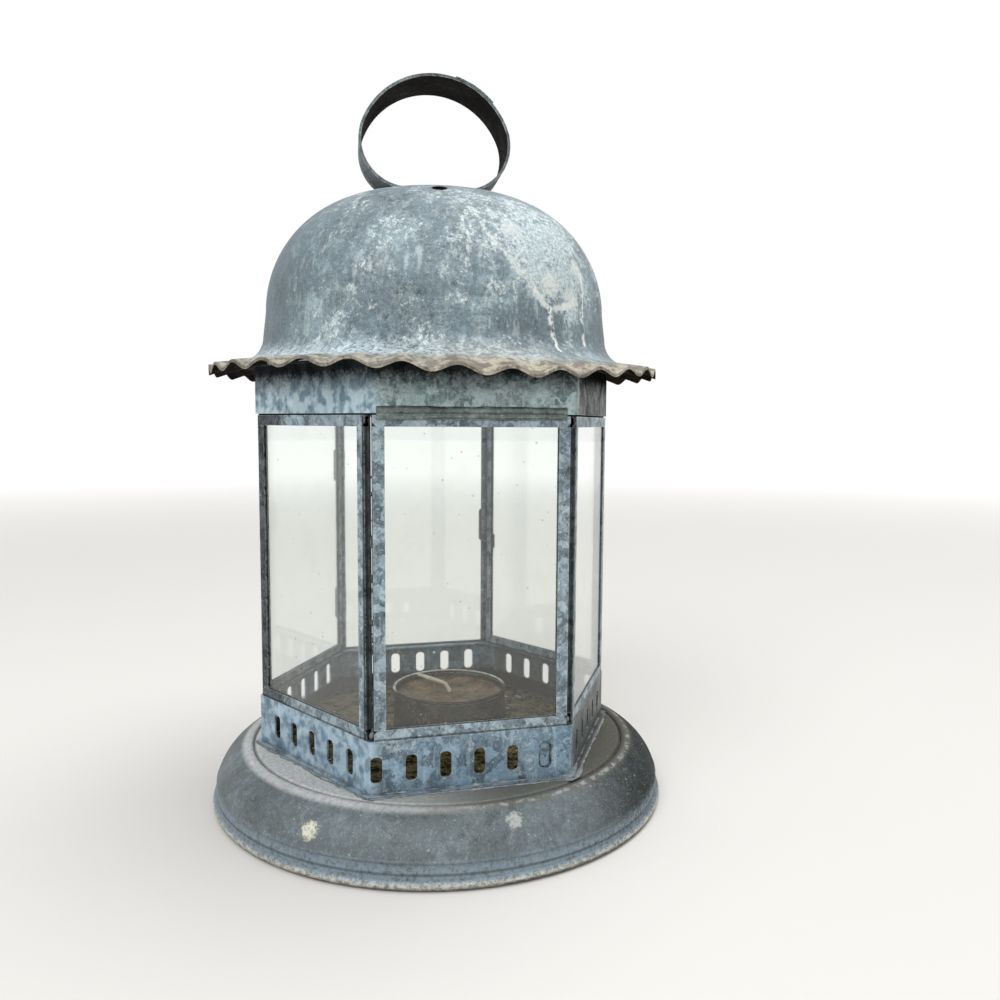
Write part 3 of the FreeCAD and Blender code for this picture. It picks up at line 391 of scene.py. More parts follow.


# %% [markdown]
# ## Specks, dirt, painted shade and rubbed edges
# Close up, the sheet is full of white mineral specks and dark pits. Dirt stays in corners,
# under laps and along seams, and shade falls there too: the ambient occlusion node finds
# them, and their darkening is dirt and painted shade. An edge that hands and cloths rub
# turns bright: there the bevel node's soft normal leaves the true one.

# %% Specks, dirt, painted shade and rubbed edges
DIRT_AND_SHADE_HUE = "#2e2b24"
DIRT_AND_SHADE_REACH = 3.5
RUBBED_WIDTH = 0.45
SPECK_SPACING = 1.9


def lay_specks(sheet, strength):
    tree, grain = sheet.tree, sheet.grain
    dots = add(tree, "TexVoronoi", None, Vector=sheet.where, Scale=per_mm(SPECK_SPACING), Randomness=1.0)
    size = add(tree, "SeparateColor", None, Color=dots.outputs["Color"]).outputs[1]
    reach = calc(tree, "MULTIPLY", ramp(tree, size, 0.74, 1.0), 0.24)
    white = ramp(tree, calc(tree, "SUBTRACT", reach, dots.outputs["Distance"]), 0.0, 0.05)
    sheet.lay("#d2d6d2", calc(tree, "MULTIPLY", white, strength * 0.6))
    sheet.lay("#c3c9c8", calc(tree, "MULTIPLY", ramp(tree, grain, 0.60, 0.70), strength * 0.8))
    sheet.lay(DIRT_AND_SHADE_HUE, calc(tree, "MULTIPLY", ramp(tree, grain, 0.42, 0.30), strength * 0.8))


def lay_dirt_and_corner_shade(sheet, strength):
    tree = sheet.tree
    # Dirt and painted shade: ambient occlusion darkens corners, laps and seams, where dirt gathers and shade
    # falls.
    corner = add(tree, "AmbientOcclusion", {"samples": 6, "only_local": False}, Distance=DIRT_AND_SHADE_REACH * MM)
    hidden = calc(tree, "MULTIPLY", ramp(tree, corner.outputs["AO"], 0.85, 0.30), strength)
    patchy = calc(tree, "MULTIPLY_ADD", sheet.fine, 0.8, 0.55)
    sheet.lay(DIRT_AND_SHADE_HUE, calc(tree, "MULTIPLY", hidden, patchy, clamp=True))


def rub_edges(sheet, tint, strength):
    tree = sheet.tree
    soft = add(tree, "Bevel", {"samples": 4}, Radius=RUBBED_WIDTH * MM).outputs["Normal"]
    true = add(tree, "NewGeometry").outputs["Normal"]
    turn = vector(tree, "DOT_PRODUCT", soft, true)["Value"]
    rubbed = both(tree, ramp(tree, turn, 0.97, 0.86), ramp(tree, sheet.fine, 0.40, 0.58))
    sheet.lay(tint, calc(tree, "MULTIPLY", rubbed, strength))


# %% [markdown]
# ## Painted shade on the sides, dark insides
# The right of the lantern, and the far left of some pieces, carry painted shade: darker and
# greyer past an upright plane. The inside of the ring is darker: its faces look in towards
# the ring's own axis, so the angle between the surface and the way to that axis finds them.

# %% Painted shade on the sides, dark insides
SHADE_WANDER = 6.0


def lay_painted_shade(sheet, start, end, tint):
    """Painted shade: the tint grows from start to end, in millimetres along X, along a wandering line."""
    tree = sheet.tree
    side = calc(tree, "MULTIPLY_ADD", sheet.fine, SHADE_WANDER * MM, along(tree, sheet.where, 0))
    shaded = rise(tree, side, start + SHADE_WANDER / 2, end + SHADE_WANDER / 2)
    sheet.lay(tint, calc(tree, "MULTIPLY", shaded, 0.85))


def lay_dark_inside(sheet, centre, across, tint):
    """A dark tint on faces that look towards a line through centre; across is 0 along the line."""
    tree = sheet.tree
    inward = vector(tree, "SUBTRACT", Vector(centre) * MM, sheet.where)[0]
    inward = vector(tree, "NORMALIZE", vector(tree, "MULTIPLY", inward, across)[0])[0]
    towards = vector(tree, "DOT_PRODUCT", inward, facing(tree))["Value"]
    sheet.lay(tint, calc(tree, "MULTIPLY", ramp(tree, towards, 0.35, 0.75), 0.93))


# %% [markdown]
# ## Closing the surface
# The coats end in one shader. Dirt and painted shade are dark and dull: where the colour
# has become nearly black, the metal under it can't shine, so a mask made from the colour
# itself turns the shine down. A second shader for dirt would do the same at a higher price.

# %% Closing the surface
BUMP_DEPTH = 0.35


def close_surface(sheet, metal, bump):
    tree = sheet.tree
    normal = add(tree, "Bump", None, Strength=bump, Distance=BUMP_DEPTH * MM, Height=sheet.height)
    normal = normal.outputs["Normal"]
    clean = ramp(tree, add(tree, "RGBToBW", None, Color=sheet.colour).outputs[0], 0.01, 0.14)
    skin = add(tree, "BsdfPrincipled", None, Base_Color=sheet.colour, Roughness=sheet.rough, Normal=normal)
    tree.links.new(calc(tree, "MULTIPLY", clean, metal), skin.inputs["Metallic"])
    tree.links.new(calc(tree, "MULTIPLY", clean, 0.5), skin.inputs["Specular IOR Level"])
    add(tree, "OutputMaterial", None, Surface=skin.outputs[0])


# %% [markdown]
# ## Weathered zinc
# All coats together, in the order in which the weather laid them, with the painted shade,
# shadow, reflection and highlight laid among them. Each piece says how strong each coat is,
# and `washes` is a piece's own last coats, so one recipe serves the zinc, the tin, the
# solder and even the wax.

# %% Weathered zinc
def weathered_zinc(name, dark, middle, pale, *, cloud, seed, rough=0.55, metal=0.3, bump=0.25,
                   spangle=None, streak=0.0, bloom=0.0, bloom_hue="#c9d0cf", bloom_low="#9aa8ac",
                   damp_sides=(), lime=(), painted_shade=None, runs=(), speck=0.5, washes=None,
                   dirt_and_shade=0.5, dark_inside=None, wear=0.5, wear_hue="#b9c0c0"):
    sheet = Sheet(name, cloud, seed)
    lay_patina(sheet, dark, middle, pale, cloud, rough)
    if spangle:
        lay_spangle(sheet, dark, pale, *spangle)
    if streak:
        lay_streaks(sheet, bloom_hue, streak)
    if bloom:
        lay_bloom(sheet, bloom_hue, bloom_low, bloom, damp_sides)
    for patch in lime:
        lay_lime(sheet, *patch)
    if painted_shade:
        lay_painted_shade(sheet, *painted_shade)
    if runs:
        place = on_round_sheet(sheet)
        for run in runs:
            lay_run(sheet, place, *run)
    if speck:
        lay_specks(sheet, speck)
    if washes:
        washes(sheet)
    if dirt_and_shade:
        lay_dirt_and_corner_shade(sheet, dirt_and_shade)
    if dark_inside:
        lay_dark_inside(sheet, *dark_inside)
    if wear:
        rub_edges(sheet, wear_hue, wear)
    close_surface(sheet, metal, bump)
    return sheet.material


def finish(material, *names):
    """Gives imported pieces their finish."""
    for name in names:
        mesh = cad[name].data
        mesh.materials.clear()
        mesh.materials.append(material)
    print(material.name, "on", len(names), "nodes")


# %% [markdown]
# ## The spun base
# The base is the darkest sheet: a wide pan spun on a lathe, which stands in the wet. Its
# flat top holds brown dust inside the walls and paler dust outside them. A groove and a
# crest run round it, its foot is bluer, and its hem is rubbed. All of these are rings, so
# the radius and the height are all that the washes need.

# %% The base's dusty top
FLOOR_FLAT = 55.0
TOP_EDGE = (PLATE_TOP - 1.4, PLATE_TOP - 0.3)
FLOOR_EDGE = (PLATE_TOP - 2.6, PLATE_TOP - 0.6)
PALE_TO_BROWN = (-46.0, 14.0)


def inside_walls(tree, where):
    """1 on the floor inside the six walls."""
    reach = None
    for angle in (30, 90, 150):
        far = calc(tree, "ABSOLUTE", reach_towards(tree, where, heading(angle)))
        reach = far if reach is None else calc(tree, "MAXIMUM", reach, far)
    return rise(tree, reach, FLOOR_FLAT, FLOOR_FLAT - 0.6)


def lay_ledge_dust(sheet):
    """Outside the walls the dust is pale on the left and brown on the right."""
    tree, height = sheet.tree, height_of(sheet.tree, sheet.where)
    worn = calc(tree, "MULTIPLY_ADD", ramp(tree, sheet.sand, 0.36, 0.60), 0.4, 0.5)
    ledge = both(tree, rise(tree, height, *TOP_EDGE), worn)
    east = along(tree, sheet.where, 0)
    dust = layer(tree, hue("#dcdddb"), hue("#5c594a"), rise(tree, east, *PALE_TO_BROWN))
    sheet.lay(dust, calc(tree, "MULTIPLY", ledge, 0.85))


def lay_floor_dust(sheet):
    tree, height = sheet.tree, height_of(sheet.tree, sheet.where)
    room = both(tree, inside_walls(tree, sheet.where), rise(tree, height, *FLOOR_EDGE))
    mottle = calc(tree, "MULTIPLY_ADD", sheet.sand, 0.5, calc(tree, "MULTIPLY", sheet.fine, 0.5))
    sheet.lay(layer(tree, hue("#1f1a0e"), hue("#716540"), ramp(tree, mottle, 0.42, 0.60)), room)


# %% [markdown]
# ### The rings of the base
# The spinner's tool left a groove inside the crest, which hands and cloths have rubbed
# pale, and the pan's edge is folded over a wire. The groove and the crease over the hem
# are thin dark lines of dirt and painted shade. They could be cut deeper; a line of tone
# is enough, because the imported base already has their shape.

# %% The base's rings
GROOVE_RADIUS = 66.6
CREST_RADIUS = 69.2
FOOT_EDGE, FOOT_SIDE = (12.5, 8.5), (72.0, 75.0)
FOOT_WANDER, HEM_WANDER = 6.0, 1.6
HEM_EDGE, HEM_SIDE = (3.8, 2.6), (75.5, 77.0)
CREASE_HEIGHT = 4.6


def lay_foot(sheet):
    tree, where = sheet.tree, sheet.where
    level_line = calc(tree, "MULTIPLY_ADD", sheet.fine, FOOT_WANDER * MM, height_of(tree, where))
    foot = both(tree, rise(tree, level_line, *FOOT_EDGE), rise(tree, radius_of(tree, where), *FOOT_SIDE))
    sheet.lay("#8b9eac", calc(tree, "MULTIPLY", sheet.ragged(foot, 0.34, 0.58), 0.7))


def lay_groove_and_crest(sheet):
    tree, radius = sheet.tree, radius_of(sheet.tree, sheet.where)
    # Dirt and painted shade in the groove.
    groove = line_at(tree, radius, GROOVE_RADIUS, 1.0, 0.2)
    sheet.lay("#2c2d29", calc(tree, "MULTIPLY", groove, 0.55))
    rubbed = both(tree, line_at(tree, radius, CREST_RADIUS, 1.1, 0.2), ramp(tree, sheet.fine, 0.46, 0.60))
    sheet.lay("#a3a9aa", calc(tree, "MULTIPLY", rubbed, 0.7))


def lay_hem(sheet):
    tree, height = sheet.tree, height_of(sheet.tree, sheet.where)
    side = rise(tree, radius_of(tree, sheet.where), *HEM_SIDE)
    level_line = calc(tree, "MULTIPLY_ADD", sheet.fine, HEM_WANDER * MM, height)
    hem = both(tree, rise(tree, level_line, *HEM_EDGE), side)
    bead = layer(tree, hue("#7d7c70"), hue("#cfcfc4"), ramp(tree, sheet.sand, 0.40, 0.58))
    sheet.lay(bead, calc(tree, "MULTIPLY", hem, 0.85))
    # Dirt and painted shade in the crease over the hem.
    crease = both(tree, line_at(tree, height, CREASE_HEIGHT, 0.7, 0.1), side)
    sheet.lay("#34352f", calc(tree, "MULTIPLY", crease, 0.6))


def base_washes(sheet):
    for coat in (lay_ledge_dust, lay_foot, lay_floor_dust, lay_groove_and_crest, lay_hem):
        coat(sheet)


# %% [markdown]
# ### The base's zinc and its hem
# A fairly even blue-grey with fine specks, with painted shade towards the right, and two
# dried lime splashes at the front. The wire in the hem is bare and rubbed.

# %% The base and its hem
base_zinc = weathered_zinc(
    "dark_weathered_zinc_base", "#444b4c", "#5b6467", "#74828a", cloud=22.0, speck=0.4,
    streak=0.15, bloom=0.35, bloom_hue="#8f9a9f", rough=0.58, metal=0.25, dirt_and_shade=0.8, wear=0.35, seed=1.0,
    painted_shade=(22.0, 62.0, "#191c18"), washes=base_washes,
    lime=(
        ((-50.1, -58.5, 13.0), 5.2, 1.0, "#d9d8c6"),
        ((8.4, -73.6, 16.3), 5.0, 0.85, "#b6bcb8"),
        ((-2.0, -77.0, 9.0), 2.6, 0.55, "#b6bcb8"),
        ((33.0, 30.0, 19.6), 2.2, 0.8, "#cfcabb"),
    ),
)
finish(base_zinc, "base_pan")
hem_zinc = weathered_zinc(
    "worn_hem_wire", "#6f736f", "#929793", "#b7b9b0", cloud=9.0, speck=0.8, bump=0.4, rough=0.5,
    metal=0.5, dirt_and_shade=0.4, wear=0.6, seed=2.0)
finish(hem_zinc, "base_edge_wire")

# %% [markdown]
# ## The two galvanised bands
# The pierced gallery and the collar are strips of the same galvanised sheet. Their spangle
# still shows, as patches of pale crystal a few millimetres wide, and the left faces, which
# the sky lights, are bluest: a painted reflection of the sky, in patches of the same size.
# Under the skirt the collar carries the skirt's painted shadow.

# %% Painted sky reflection on the left faces, painted skirt shadow on the collar
LEFT_FACE = heading(-150)
SKY_PATCH_SIZE = 4.0
SKY_REFLECTION_START, SKY_REFLECTION_FULL = 52.0, 54.5
SKIRT_SHADOW_START, SKIRT_SHADOW_FULL, SKIRT_SHADOW_WANDER = COLLAR_FOOT + 1, COLLAR_FOOT + 10, 7.0


# Painted reflection: faces turned to the left carry the sky's blue, in crystal-sized patches.
def lay_sky_reflection(sheet, low, pale, strength):
    tree = sheet.tree
    side = reach_towards(tree, sheet.where, LEFT_FACE)
    crystals = clouds(tree, sheet.where, SKY_PATCH_SIZE, 2.0, 0.5, 9.0)
    reflection = layer(tree, hue(low), hue(pale), ramp(tree, crystals, 0.38, 0.60))
    sheet.lay(reflection, calc(tree, "MULTIPLY", rise(tree, side, SKY_REFLECTION_START, SKY_REFLECTION_FULL), strength))


def collar_washes(sheet):
    lay_sky_reflection(sheet, "#6a8ea6", "#d6eefb", 0.7)
    tree = sheet.tree
    # Painted shadow: the skirt's shadow falls on the collar, near black at its top.
    high = calc(tree, "MULTIPLY_ADD", sheet.fine, -SKIRT_SHADOW_WANDER * MM, height_of(tree, sheet.where))
    sheet.lay("#0f100c", calc(tree, "MULTIPLY", rise(tree, high, SKIRT_SHADOW_START, SKIRT_SHADOW_FULL), 0.97))


# %% [markdown]
# ### The blind slot
# The strip's two ends lap at the front, and one slot there is closed by the sheet behind
# it: only its outline shows. It is a rectangle with round corners, and a point's distance
# to a smaller rectangle inside it tells how near the outline is.

# %% The blind slot
SLOT_X, SLOT_Z = 23.4, 27.7
SLOT_CORE_X, SLOT_CORE_Z, SLOT_ROUND = 0.3, 2.6, 1.5
FRONT_FACE = (-54.0, -54.5)


def past_core(tree, value, middle, half):
    """How far past the core's side, or 0 inside it."""
    off = calc(tree, "ABSOLUTE", calc(tree, "SUBTRACT", value, middle * MM))
    return calc(tree, "MAXIMUM", calc(tree, "SUBTRACT", off, half * MM), 0.0)


def lay_blind_slot(sheet):
    tree = sheet.tree
    x, y, z = add(tree, "SeparateXYZ", None, Vector=sheet.where).outputs
    past = add(tree, "CombineXYZ", None, X=past_core(tree, x, SLOT_X, SLOT_CORE_X),
               Y=past_core(tree, z, SLOT_Z, SLOT_CORE_Z)).outputs[0]
    rim = line_at(tree, vector(tree, "LENGTH", past)["Value"], SLOT_ROUND, 0.45, 0.15)
    rim = both(tree, rim, rise(tree, y, *FRONT_FACE))
    sheet.lay("#22282b", sheet.ragged(rim, 0.36, 0.50))


# %% [markdown]
# ### Dust inside the gallery
# Inside, dust has dulled the walls and lies in a drift along their foot. The faces that
# look towards the lantern's axis are the inner ones.

# %% Dust inside the gallery
DRIFT_EDGE = (PLATE_TOP + 3.9, PLATE_TOP + 1.9)
DRIFT_WANDER, DRIFT_GRAIN = 4.0, 1.5


def lay_gallery_dust(sheet):
    tree, where = sheet.tree, sheet.where
    inward = vector(tree, "MULTIPLY", where, (-1.0, -1.0, 0.0))[0]
    inward = vector(tree, "NORMALIZE", inward)[0]
    inner = ramp(tree, vector(tree, "DOT_PRODUCT", inward, facing(tree))["Value"], 0.35, 0.6)
    dulled = calc(tree, "MULTIPLY", ramp(tree, sheet.sand, 0.40, 0.58), 0.35)
    sheet.lay("#7b857f", both(tree, inner, dulled))
    high = calc(tree, "MULTIPLY_ADD", sheet.fine, -DRIFT_WANDER * MM, height_of(tree, where))
    high = calc(tree, "MULTIPLY_ADD", sheet.sand, -DRIFT_GRAIN * MM, high)
    drift = both(tree, inner, rise(tree, high, *DRIFT_EDGE))
    sheet.lay("#332e21", calc(tree, "MULTIPLY", drift, 0.95))


def gallery_washes(sheet):
    lay_blind_slot(sheet)
    lay_sky_reflection(sheet, "#5f7f96", "#c4dceb", 0.5)
    lay_gallery_dust(sheet)


# %% [markdown]
# ### The bands' zinc
# Both bands share the recipe. The collar is greener and its crystals are smaller; past
# the front's right corner both carry painted shade.

# %% Gallery and collar
band_zinc = weathered_zinc(
    "galvanised_gallery", "#3f515c", "#597180", "#8aa8be", cloud=9.0, spangle=(4.2, 0.7),
    streak=0.45, bloom=0.75, bloom_hue="#bccbd4", speck=0.7, rough=0.48, metal=0.35, dirt_and_shade=0.85, wear=0.75,
    seed=3.0, painted_shade=(32.5, 35.0, "#45493f"), washes=gallery_washes)
finish(band_zinc, "gallery_band")
collar_zinc = weathered_zinc(
    "galvanised_collar", "#485b5b", "#7c9594", "#bfd6da", cloud=6.0, spangle=(3.4, 0.75),
    streak=0.7, bloom=0.8, bloom_hue="#c4d3d5", speck=0.7, rough=0.5, metal=0.3, dirt_and_shade=0.35, wear=0.5,
    seed=4.0, painted_shade=(32.5, 34.5, "#0e110c"), washes=collar_washes)
finish(collar_zinc, "collar_band")

# %% [markdown]
# ## The glazing channels
# Each pane sits in folded channels. Their edges are rubbed pale and their faces are
# mottled. Beside the two front corners the crack between the panels is painted black as
# shade, and the seam along the sill is black with old dirt. Both are masks by distance,
# torn by the sand.

# %% Painted shade beside the corners, dirt along the sill
SHADED_CORNERS = ((-120, 120), (-60, 60))
BESIDE_CORNER = 1.3
CORNER_SHADE, CORNER_GRAIN = (1.6, 1.0), 1.0
SILL_SEAM, SEAM_GRAIN = (37.8, 37.3), 0.5


def corner_shade_and_sill_dirt(sheet):
    """Each shaded corner is an angle, and the way along the face that carries the painted shade."""
    tree = sheet.tree
    for corner, side in SHADED_CORNERS:
        beside = heading(corner) * CORNER_RADIUS + heading(side) * BESIDE_CORNER
        away = distance_to(tree, off_axis(tree, sheet.where), beside)
        away = calc(tree, "ADD", away, CORNER_GRAIN / 2 * MM)
        away = calc(tree, "MULTIPLY_ADD", sheet.sand, -CORNER_GRAIN * MM, away)
        # Painted shade in the crack beside the corner.
        sheet.lay("#191b19", calc(tree, "MULTIPLY", rise(tree, away, *CORNER_SHADE), 0.85))
    seam = calc(tree, "MULTIPLY_ADD", sheet.sand, SEAM_GRAIN * MM, height_of(tree, sheet.where))
    sheet.lay("#20262a", calc(tree, "MULTIPLY", rise(tree, seam, *SILL_SEAM), 0.75))


# %% [markdown]
# ### Their finishes
# One finish serves every stile and rail, the door's too, with painted shade on the stiles
# at the far left. Solder is softer and duller than zinc. The hinges and the latch are plain
# tin strip, greyer than the zinc.

# %% Channels, solder, hinges and latch
stiles_and_rails = [name for name in cad if name.endswith(("stile", "rail"))]
channel_zinc = weathered_zinc(
    "folded_zinc_channels", "#374449", "#677a84", "#b3c8d4", cloud=6.0, spangle=(2.8, 0.55),
    streak=0.35, bloom=0.75, bloom_hue="#c1ccd0", speck=0.8, rough=0.5, metal=0.4, dirt_and_shade=0.95, wear=0.8,
    seed=5.0, painted_shade=(-54.0, -58.0, "#20262a"), washes=corner_shade_and_sill_dirt)
finish(channel_zinc, *stiles_and_rails)
solder = weathered_zinc(
    "dull_solder", "#343a38", "#5c6562", "#8b9591", cloud=5.0, speck=0.6, bloom=0.5, bloom_hue="#b6bbb6",
    rough=0.5, metal=0.3, bump=0.7, dirt_and_shade=0.9, wear=0.4, seed=6.0)
finish(solder, "corner_solder")
door_tin = weathered_zinc(
    "tinned_hinge_strip", "#4f5557", "#6f777a", "#979d9d", cloud=8.0, speck=0.5, rough=0.45, metal=0.6,
    dirt_and_shade=0.8, wear=0.8, seed=7.0)
finish(door_tin, "hinge_body_leaves", "hinge_pins", "hinge_door_leaves",
       "latch_keeper", "latch_stud", "latch_bar")

# %% [markdown]
# ## Making an uneven piece
# Solder is wiped along a seam while it is soft, so it has no straight edge: it swells,
# thins out and leaves drops. A drawing gives it as a neat strip. Here each run is a tube
# through rings of points, whose size grows and shrinks with noise. A curve with a bevel
# could do it too, but not with a section that changes its form.

# %% Helpers for uneven pieces
def uneven(point, size):
    """Smooth noise between -1 and 1 with features this many millimetres across."""
    return noise.noise(Vector(point) / size)


def as_piece(name, shape, smooth):
    """Turns a bmesh into an object of the scene."""
    mesh = bpy.data.meshes.new(name)
    shape.to_mesh(mesh)
    shape.free()
    for face in mesh.polygons:
        face.use_smooth = smooth
    piece = bpy.data.objects.new(name, mesh)
    bpy.context.scene.collection.objects.link(piece)
    return piece


def tube_through(name, sections, closed, smooth=True):
    """A tube through rings of points, closed on itself or capped at both ends."""
    shape = bmesh.new()
    rings = [[shape.verts.new(Vector(p) * MM) for p in section] for section in sections]
    pairs = list(zip(rings, rings[1:] + rings[:1])) if closed else list(zip(rings, rings[1:]))
    for near, far in pairs:
        for a, b, c, d in zip(near, near[1:] + near[:1], far[1:] + far[:1], far):
            shape.faces.new((a, b, c, d))
    if not closed:
        shape.faces.new(rings[0])
        shape.faces.new(rings[-1])
    bmesh.ops.recalc_face_normals(shape, faces=shape.faces)
    return as_piece(name, shape, smooth)


def settle(piece, body, material):
    """Gives a new piece its finish and the body that it rides on."""
    piece.data.materials.append(material)
    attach(piece, body)
    print(piece.name, len(piece.data.polygons), "faces")


# %% [markdown]
# ## The solder round the gallery's foot
# The gallery stands on the base in a run of solder, wiped to a slightly hollow fillet a
# few millimetres wide. It takes the place of the drawing's even strip.

# %% Foot solder
SIDE_STEPS = 64
FILLET_POINTS = 7
RUN_WIDTH, RUN_WIDTH_LEAST, RUN_WIDTH_MOST = 2.6, 1.0, 3.2
RUN_HEIGHT, RUN_HEIGHT_LEAST, RUN_HEIGHT_MOST = 0.8, 0.3, 1.2
SUNK_IN_WALL = 0.25
RUN_FOOT = Vector((0, 0, PLATE_TOP + 0.05))


def foot_section(seat, out):
    """The run's section at one place: its back in the wall, its face a hollow fillet."""
    swell = uneven(seat, 14.0) + 0.35 * uneven(seat, 3.0)
    wide = min(max(RUN_WIDTH_LEAST, RUN_WIDTH + 2.0 * swell), RUN_WIDTH_MOST)
    tall = RUN_HEIGHT + 0.8 * swell + 0.4 * uneven(seat * 1.7, 5.0)
    tall = min(max(RUN_HEIGHT_LEAST, tall), RUN_HEIGHT_MOST)
    back = seat - out * SUNK_IN_WALL + RUN_FOOT
    ring = [back]
    for turn in range(FILLET_POINTS):
        share = turn / (FILLET_POINTS - 1)
        bulge = 1 + 0.12 * uneven(seat + Vector((0, 0, turn)), 1.6)
        reach = out * wide * (1 - share) ** 1.3 * bulge
        ring.append(seat + reach + RUN_FOOT + Vector((0, 0, tall * share ** 1.4 * bulge)))
    ring.append(back + Vector((0, 0, tall)))
    return ring


def foot_sections():
    for corner in range(-120, 240, 60):
        start, end = (heading(angle) * CORNER_RADIUS for angle in (corner, corner + 60))
        out = (start + end).normalized()
        for step in range(SIDE_STEPS):
            yield foot_section(start.lerp(end, (step + 0.5) / SIDE_STEPS), out)


foot_run = tube_through("foot_solder_run", list(foot_sections()), closed=True)
foot_zinc = weathered_zinc(
    "wiped_foot_solder", "#464b4e", "#71777a", "#a4a6a4", cloud=16.0, bloom=0.6, bloom_hue="#b9b7b3",
    speck=0.8, rough=0.6, metal=0.2, bump=0.6, dirt_and_shade=0.8, wear=0.2, seed=14.0)
settle(foot_run, "lantern_body", foot_zinc)
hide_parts("foot_solder")

# %% [markdown]
# ## The solder over the front pane
# Along the foot of the collar the solder was wiped in two or three flat ridges, one over
# the other. A cosine down the strip gives the ridges, and noise makes them wander.

# %% Front seam solder
SEAM_STEPS = 118
SEAM_LEVELS = 13
RIDGES = 2.5
SEAM_SKIN, RIDGE_HEIGHT, THINNEST = 0.10, 0.42, 0.05
seam_low, seam_high = corners_of("front_seam_solder")


def seam_section(x):
    """The strip's section at one place along the seam, from its foot to its top."""
    ring = [(x, seam_high.y, seam_low.z)]
    for step in range(SEAM_LEVELS):
        share = step / (SEAM_LEVELS - 1)
        up = seam_low.z + (seam_high.z - seam_low.z) * share
        ridge = 0.5 + 0.5 * math.cos(share * math.tau * RIDGES + 0.8 * uneven((x, 0, 3), 14.0))
        proud = SEAM_SKIN + RIDGE_HEIGHT * ridge * (1 + 0.8 * uneven((x, up * 2, 0), 3.0))
        ring.append((x, seam_high.y - max(proud, THINNEST), up + 0.25 * uneven((x, up, 7), 5.0) * share))
    ring.append((x, seam_high.y, seam_high.z))
    return ring


seam_run = tube_through("front_seam_run", [
    seam_section(seam_low.x + (seam_high.x - seam_low.x) * step / (SEAM_STEPS - 1))
    for step in range(SEAM_STEPS)], closed=False)
seam_zinc = weathered_zinc(
    "wiped_seam_solder", "#3a423f", "#65716e", "#93a3a0", cloud=14.0, bloom=0.5, bloom_hue="#aebbb8",
    speck=0.6, rough=0.55, metal=0.25, bump=0.4, dirt_and_shade=1.0, wear=0.8, wear_hue="#a9b5b3", seed=15.0)
settle(seam_run, "lantern_body", seam_zinc)
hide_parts("front_seam_solder")

# %% [markdown]
# ## Painted shade under the collar
# Between the panels and the collar is a crack half a millimetre wide, which lies in shade.
# Left open it would let white light through. Five flat lengths, bent at the corners,
# close it on all sides but the door's, and their near-black finish is painted shade.

# %% Painted shade under the collar
CRACK_OUTER, CRACK_INNER = 63.0, 60.6
CRACK_LOW, CRACK_HIGH = COLLAR_FOOT - 0.47, COLLAR_FOOT + 0.8
CRACK_OUTLINE = (
    (CRACK_OUTER, CRACK_LOW), (CRACK_OUTER, CRACK_HIGH), (CRACK_INNER, CRACK_HIGH), (CRACK_INNER, CRACK_LOW))

packing = [[heading(corner) * radius + Vector((0, 0, z)) for radius, z in CRACK_OUTLINE]
           for corner in range(120, 421, 60)]
gap_shade_strip = tube_through("collar_gap_shade_strip", packing, closed=False, smooth=False)
# Painted shade: the strip is near black because the crack under the collar lies in shade.
gap_shade_black = weathered_zinc(
    "painted_gap_shade", "#0f0e0c", "#1d1b18", "#2c2a26", cloud=4.0, speck=0.0, rough=0.9, metal=0.0, dirt_and_shade=0.0,
    wear=0.0, seed=16.0)
settle(gap_shade_strip, "lantern_body", gap_shade_black)

# %% [markdown]
# ## Solder drops and grit
# Drops of solder hang in the corners behind the panels, and chips of lime lie on the
# floor round the cup. They are too small to place one by one: a seeded generator gives
# each its place and size, so they come out alike on every run.

# %% Helper for small lumps
rng = np.random.default_rng(7)


def scatter(name, lumps, roundness):
    """Many small uneven lumps in one mesh: each is a place and three half widths in mm."""
    shape = bmesh.new()
    for place, widths in lumps:
        made = bmesh.ops.create_icosphere(shape, subdivisions=roundness, radius=1.0)["verts"]
        turn = Matrix.Rotation(rng.uniform(0, math.tau), 3, "Z")
        for vert in made:
            wobble = 1 + 0.25 * uneven(vert.co + Vector(place), 0.9)
            scaled = turn @ Vector((vert.co[k] * widths[k] * wobble for k in range(3)))
            vert.co = (Vector(place) + scaled) * MM
    return as_piece(name, shape, smooth=roundness > 1)


# %% [markdown]
# ### Drops in the corners
# Fourteen small drops in each corner that isn't the door's, and one larger one at its
# foot, where the solder ran together.

# %% Solder drops
DROPS_PER_CORNER = 14
DROP_SIZES, DROP_STRETCH = (0.2, 0.6), (1.0, 3.5)
DROP_NEAR, DROP_FAR = 60.7, 61.5
DROP_LOW, DROP_HIGH = 39.0, 132.0
BIG_DROP_RADIUS, BIG_DROP_HEIGHT, BIG_DROP = 61.6, 38.0, (1.2, 1.2, 1.5)

drops = []
for corner in (-120, -60, 0, 180):
    for _ in range(DROPS_PER_CORNER):
        size = rng.uniform(*DROP_SIZES)
        place = heading(corner) * rng.uniform(DROP_NEAR, DROP_FAR)
        place = place + Vector((0, 0, rng.uniform(DROP_LOW, DROP_HIGH)))
        drops.append((place, (size, size, size * rng.uniform(*DROP_STRETCH))))
    drops.append((heading(corner) * BIG_DROP_RADIUS + Vector((0, 0, BIG_DROP_HEIGHT)), BIG_DROP))
settle(scatter("corner_solder_drops", drops, 2), "lantern_body", solder)

# %% [markdown]
# ### Grit on the floor
# Ninety grains anywhere inside the walls but not in the cup, and two larger chips of lime
# behind it, at the right.

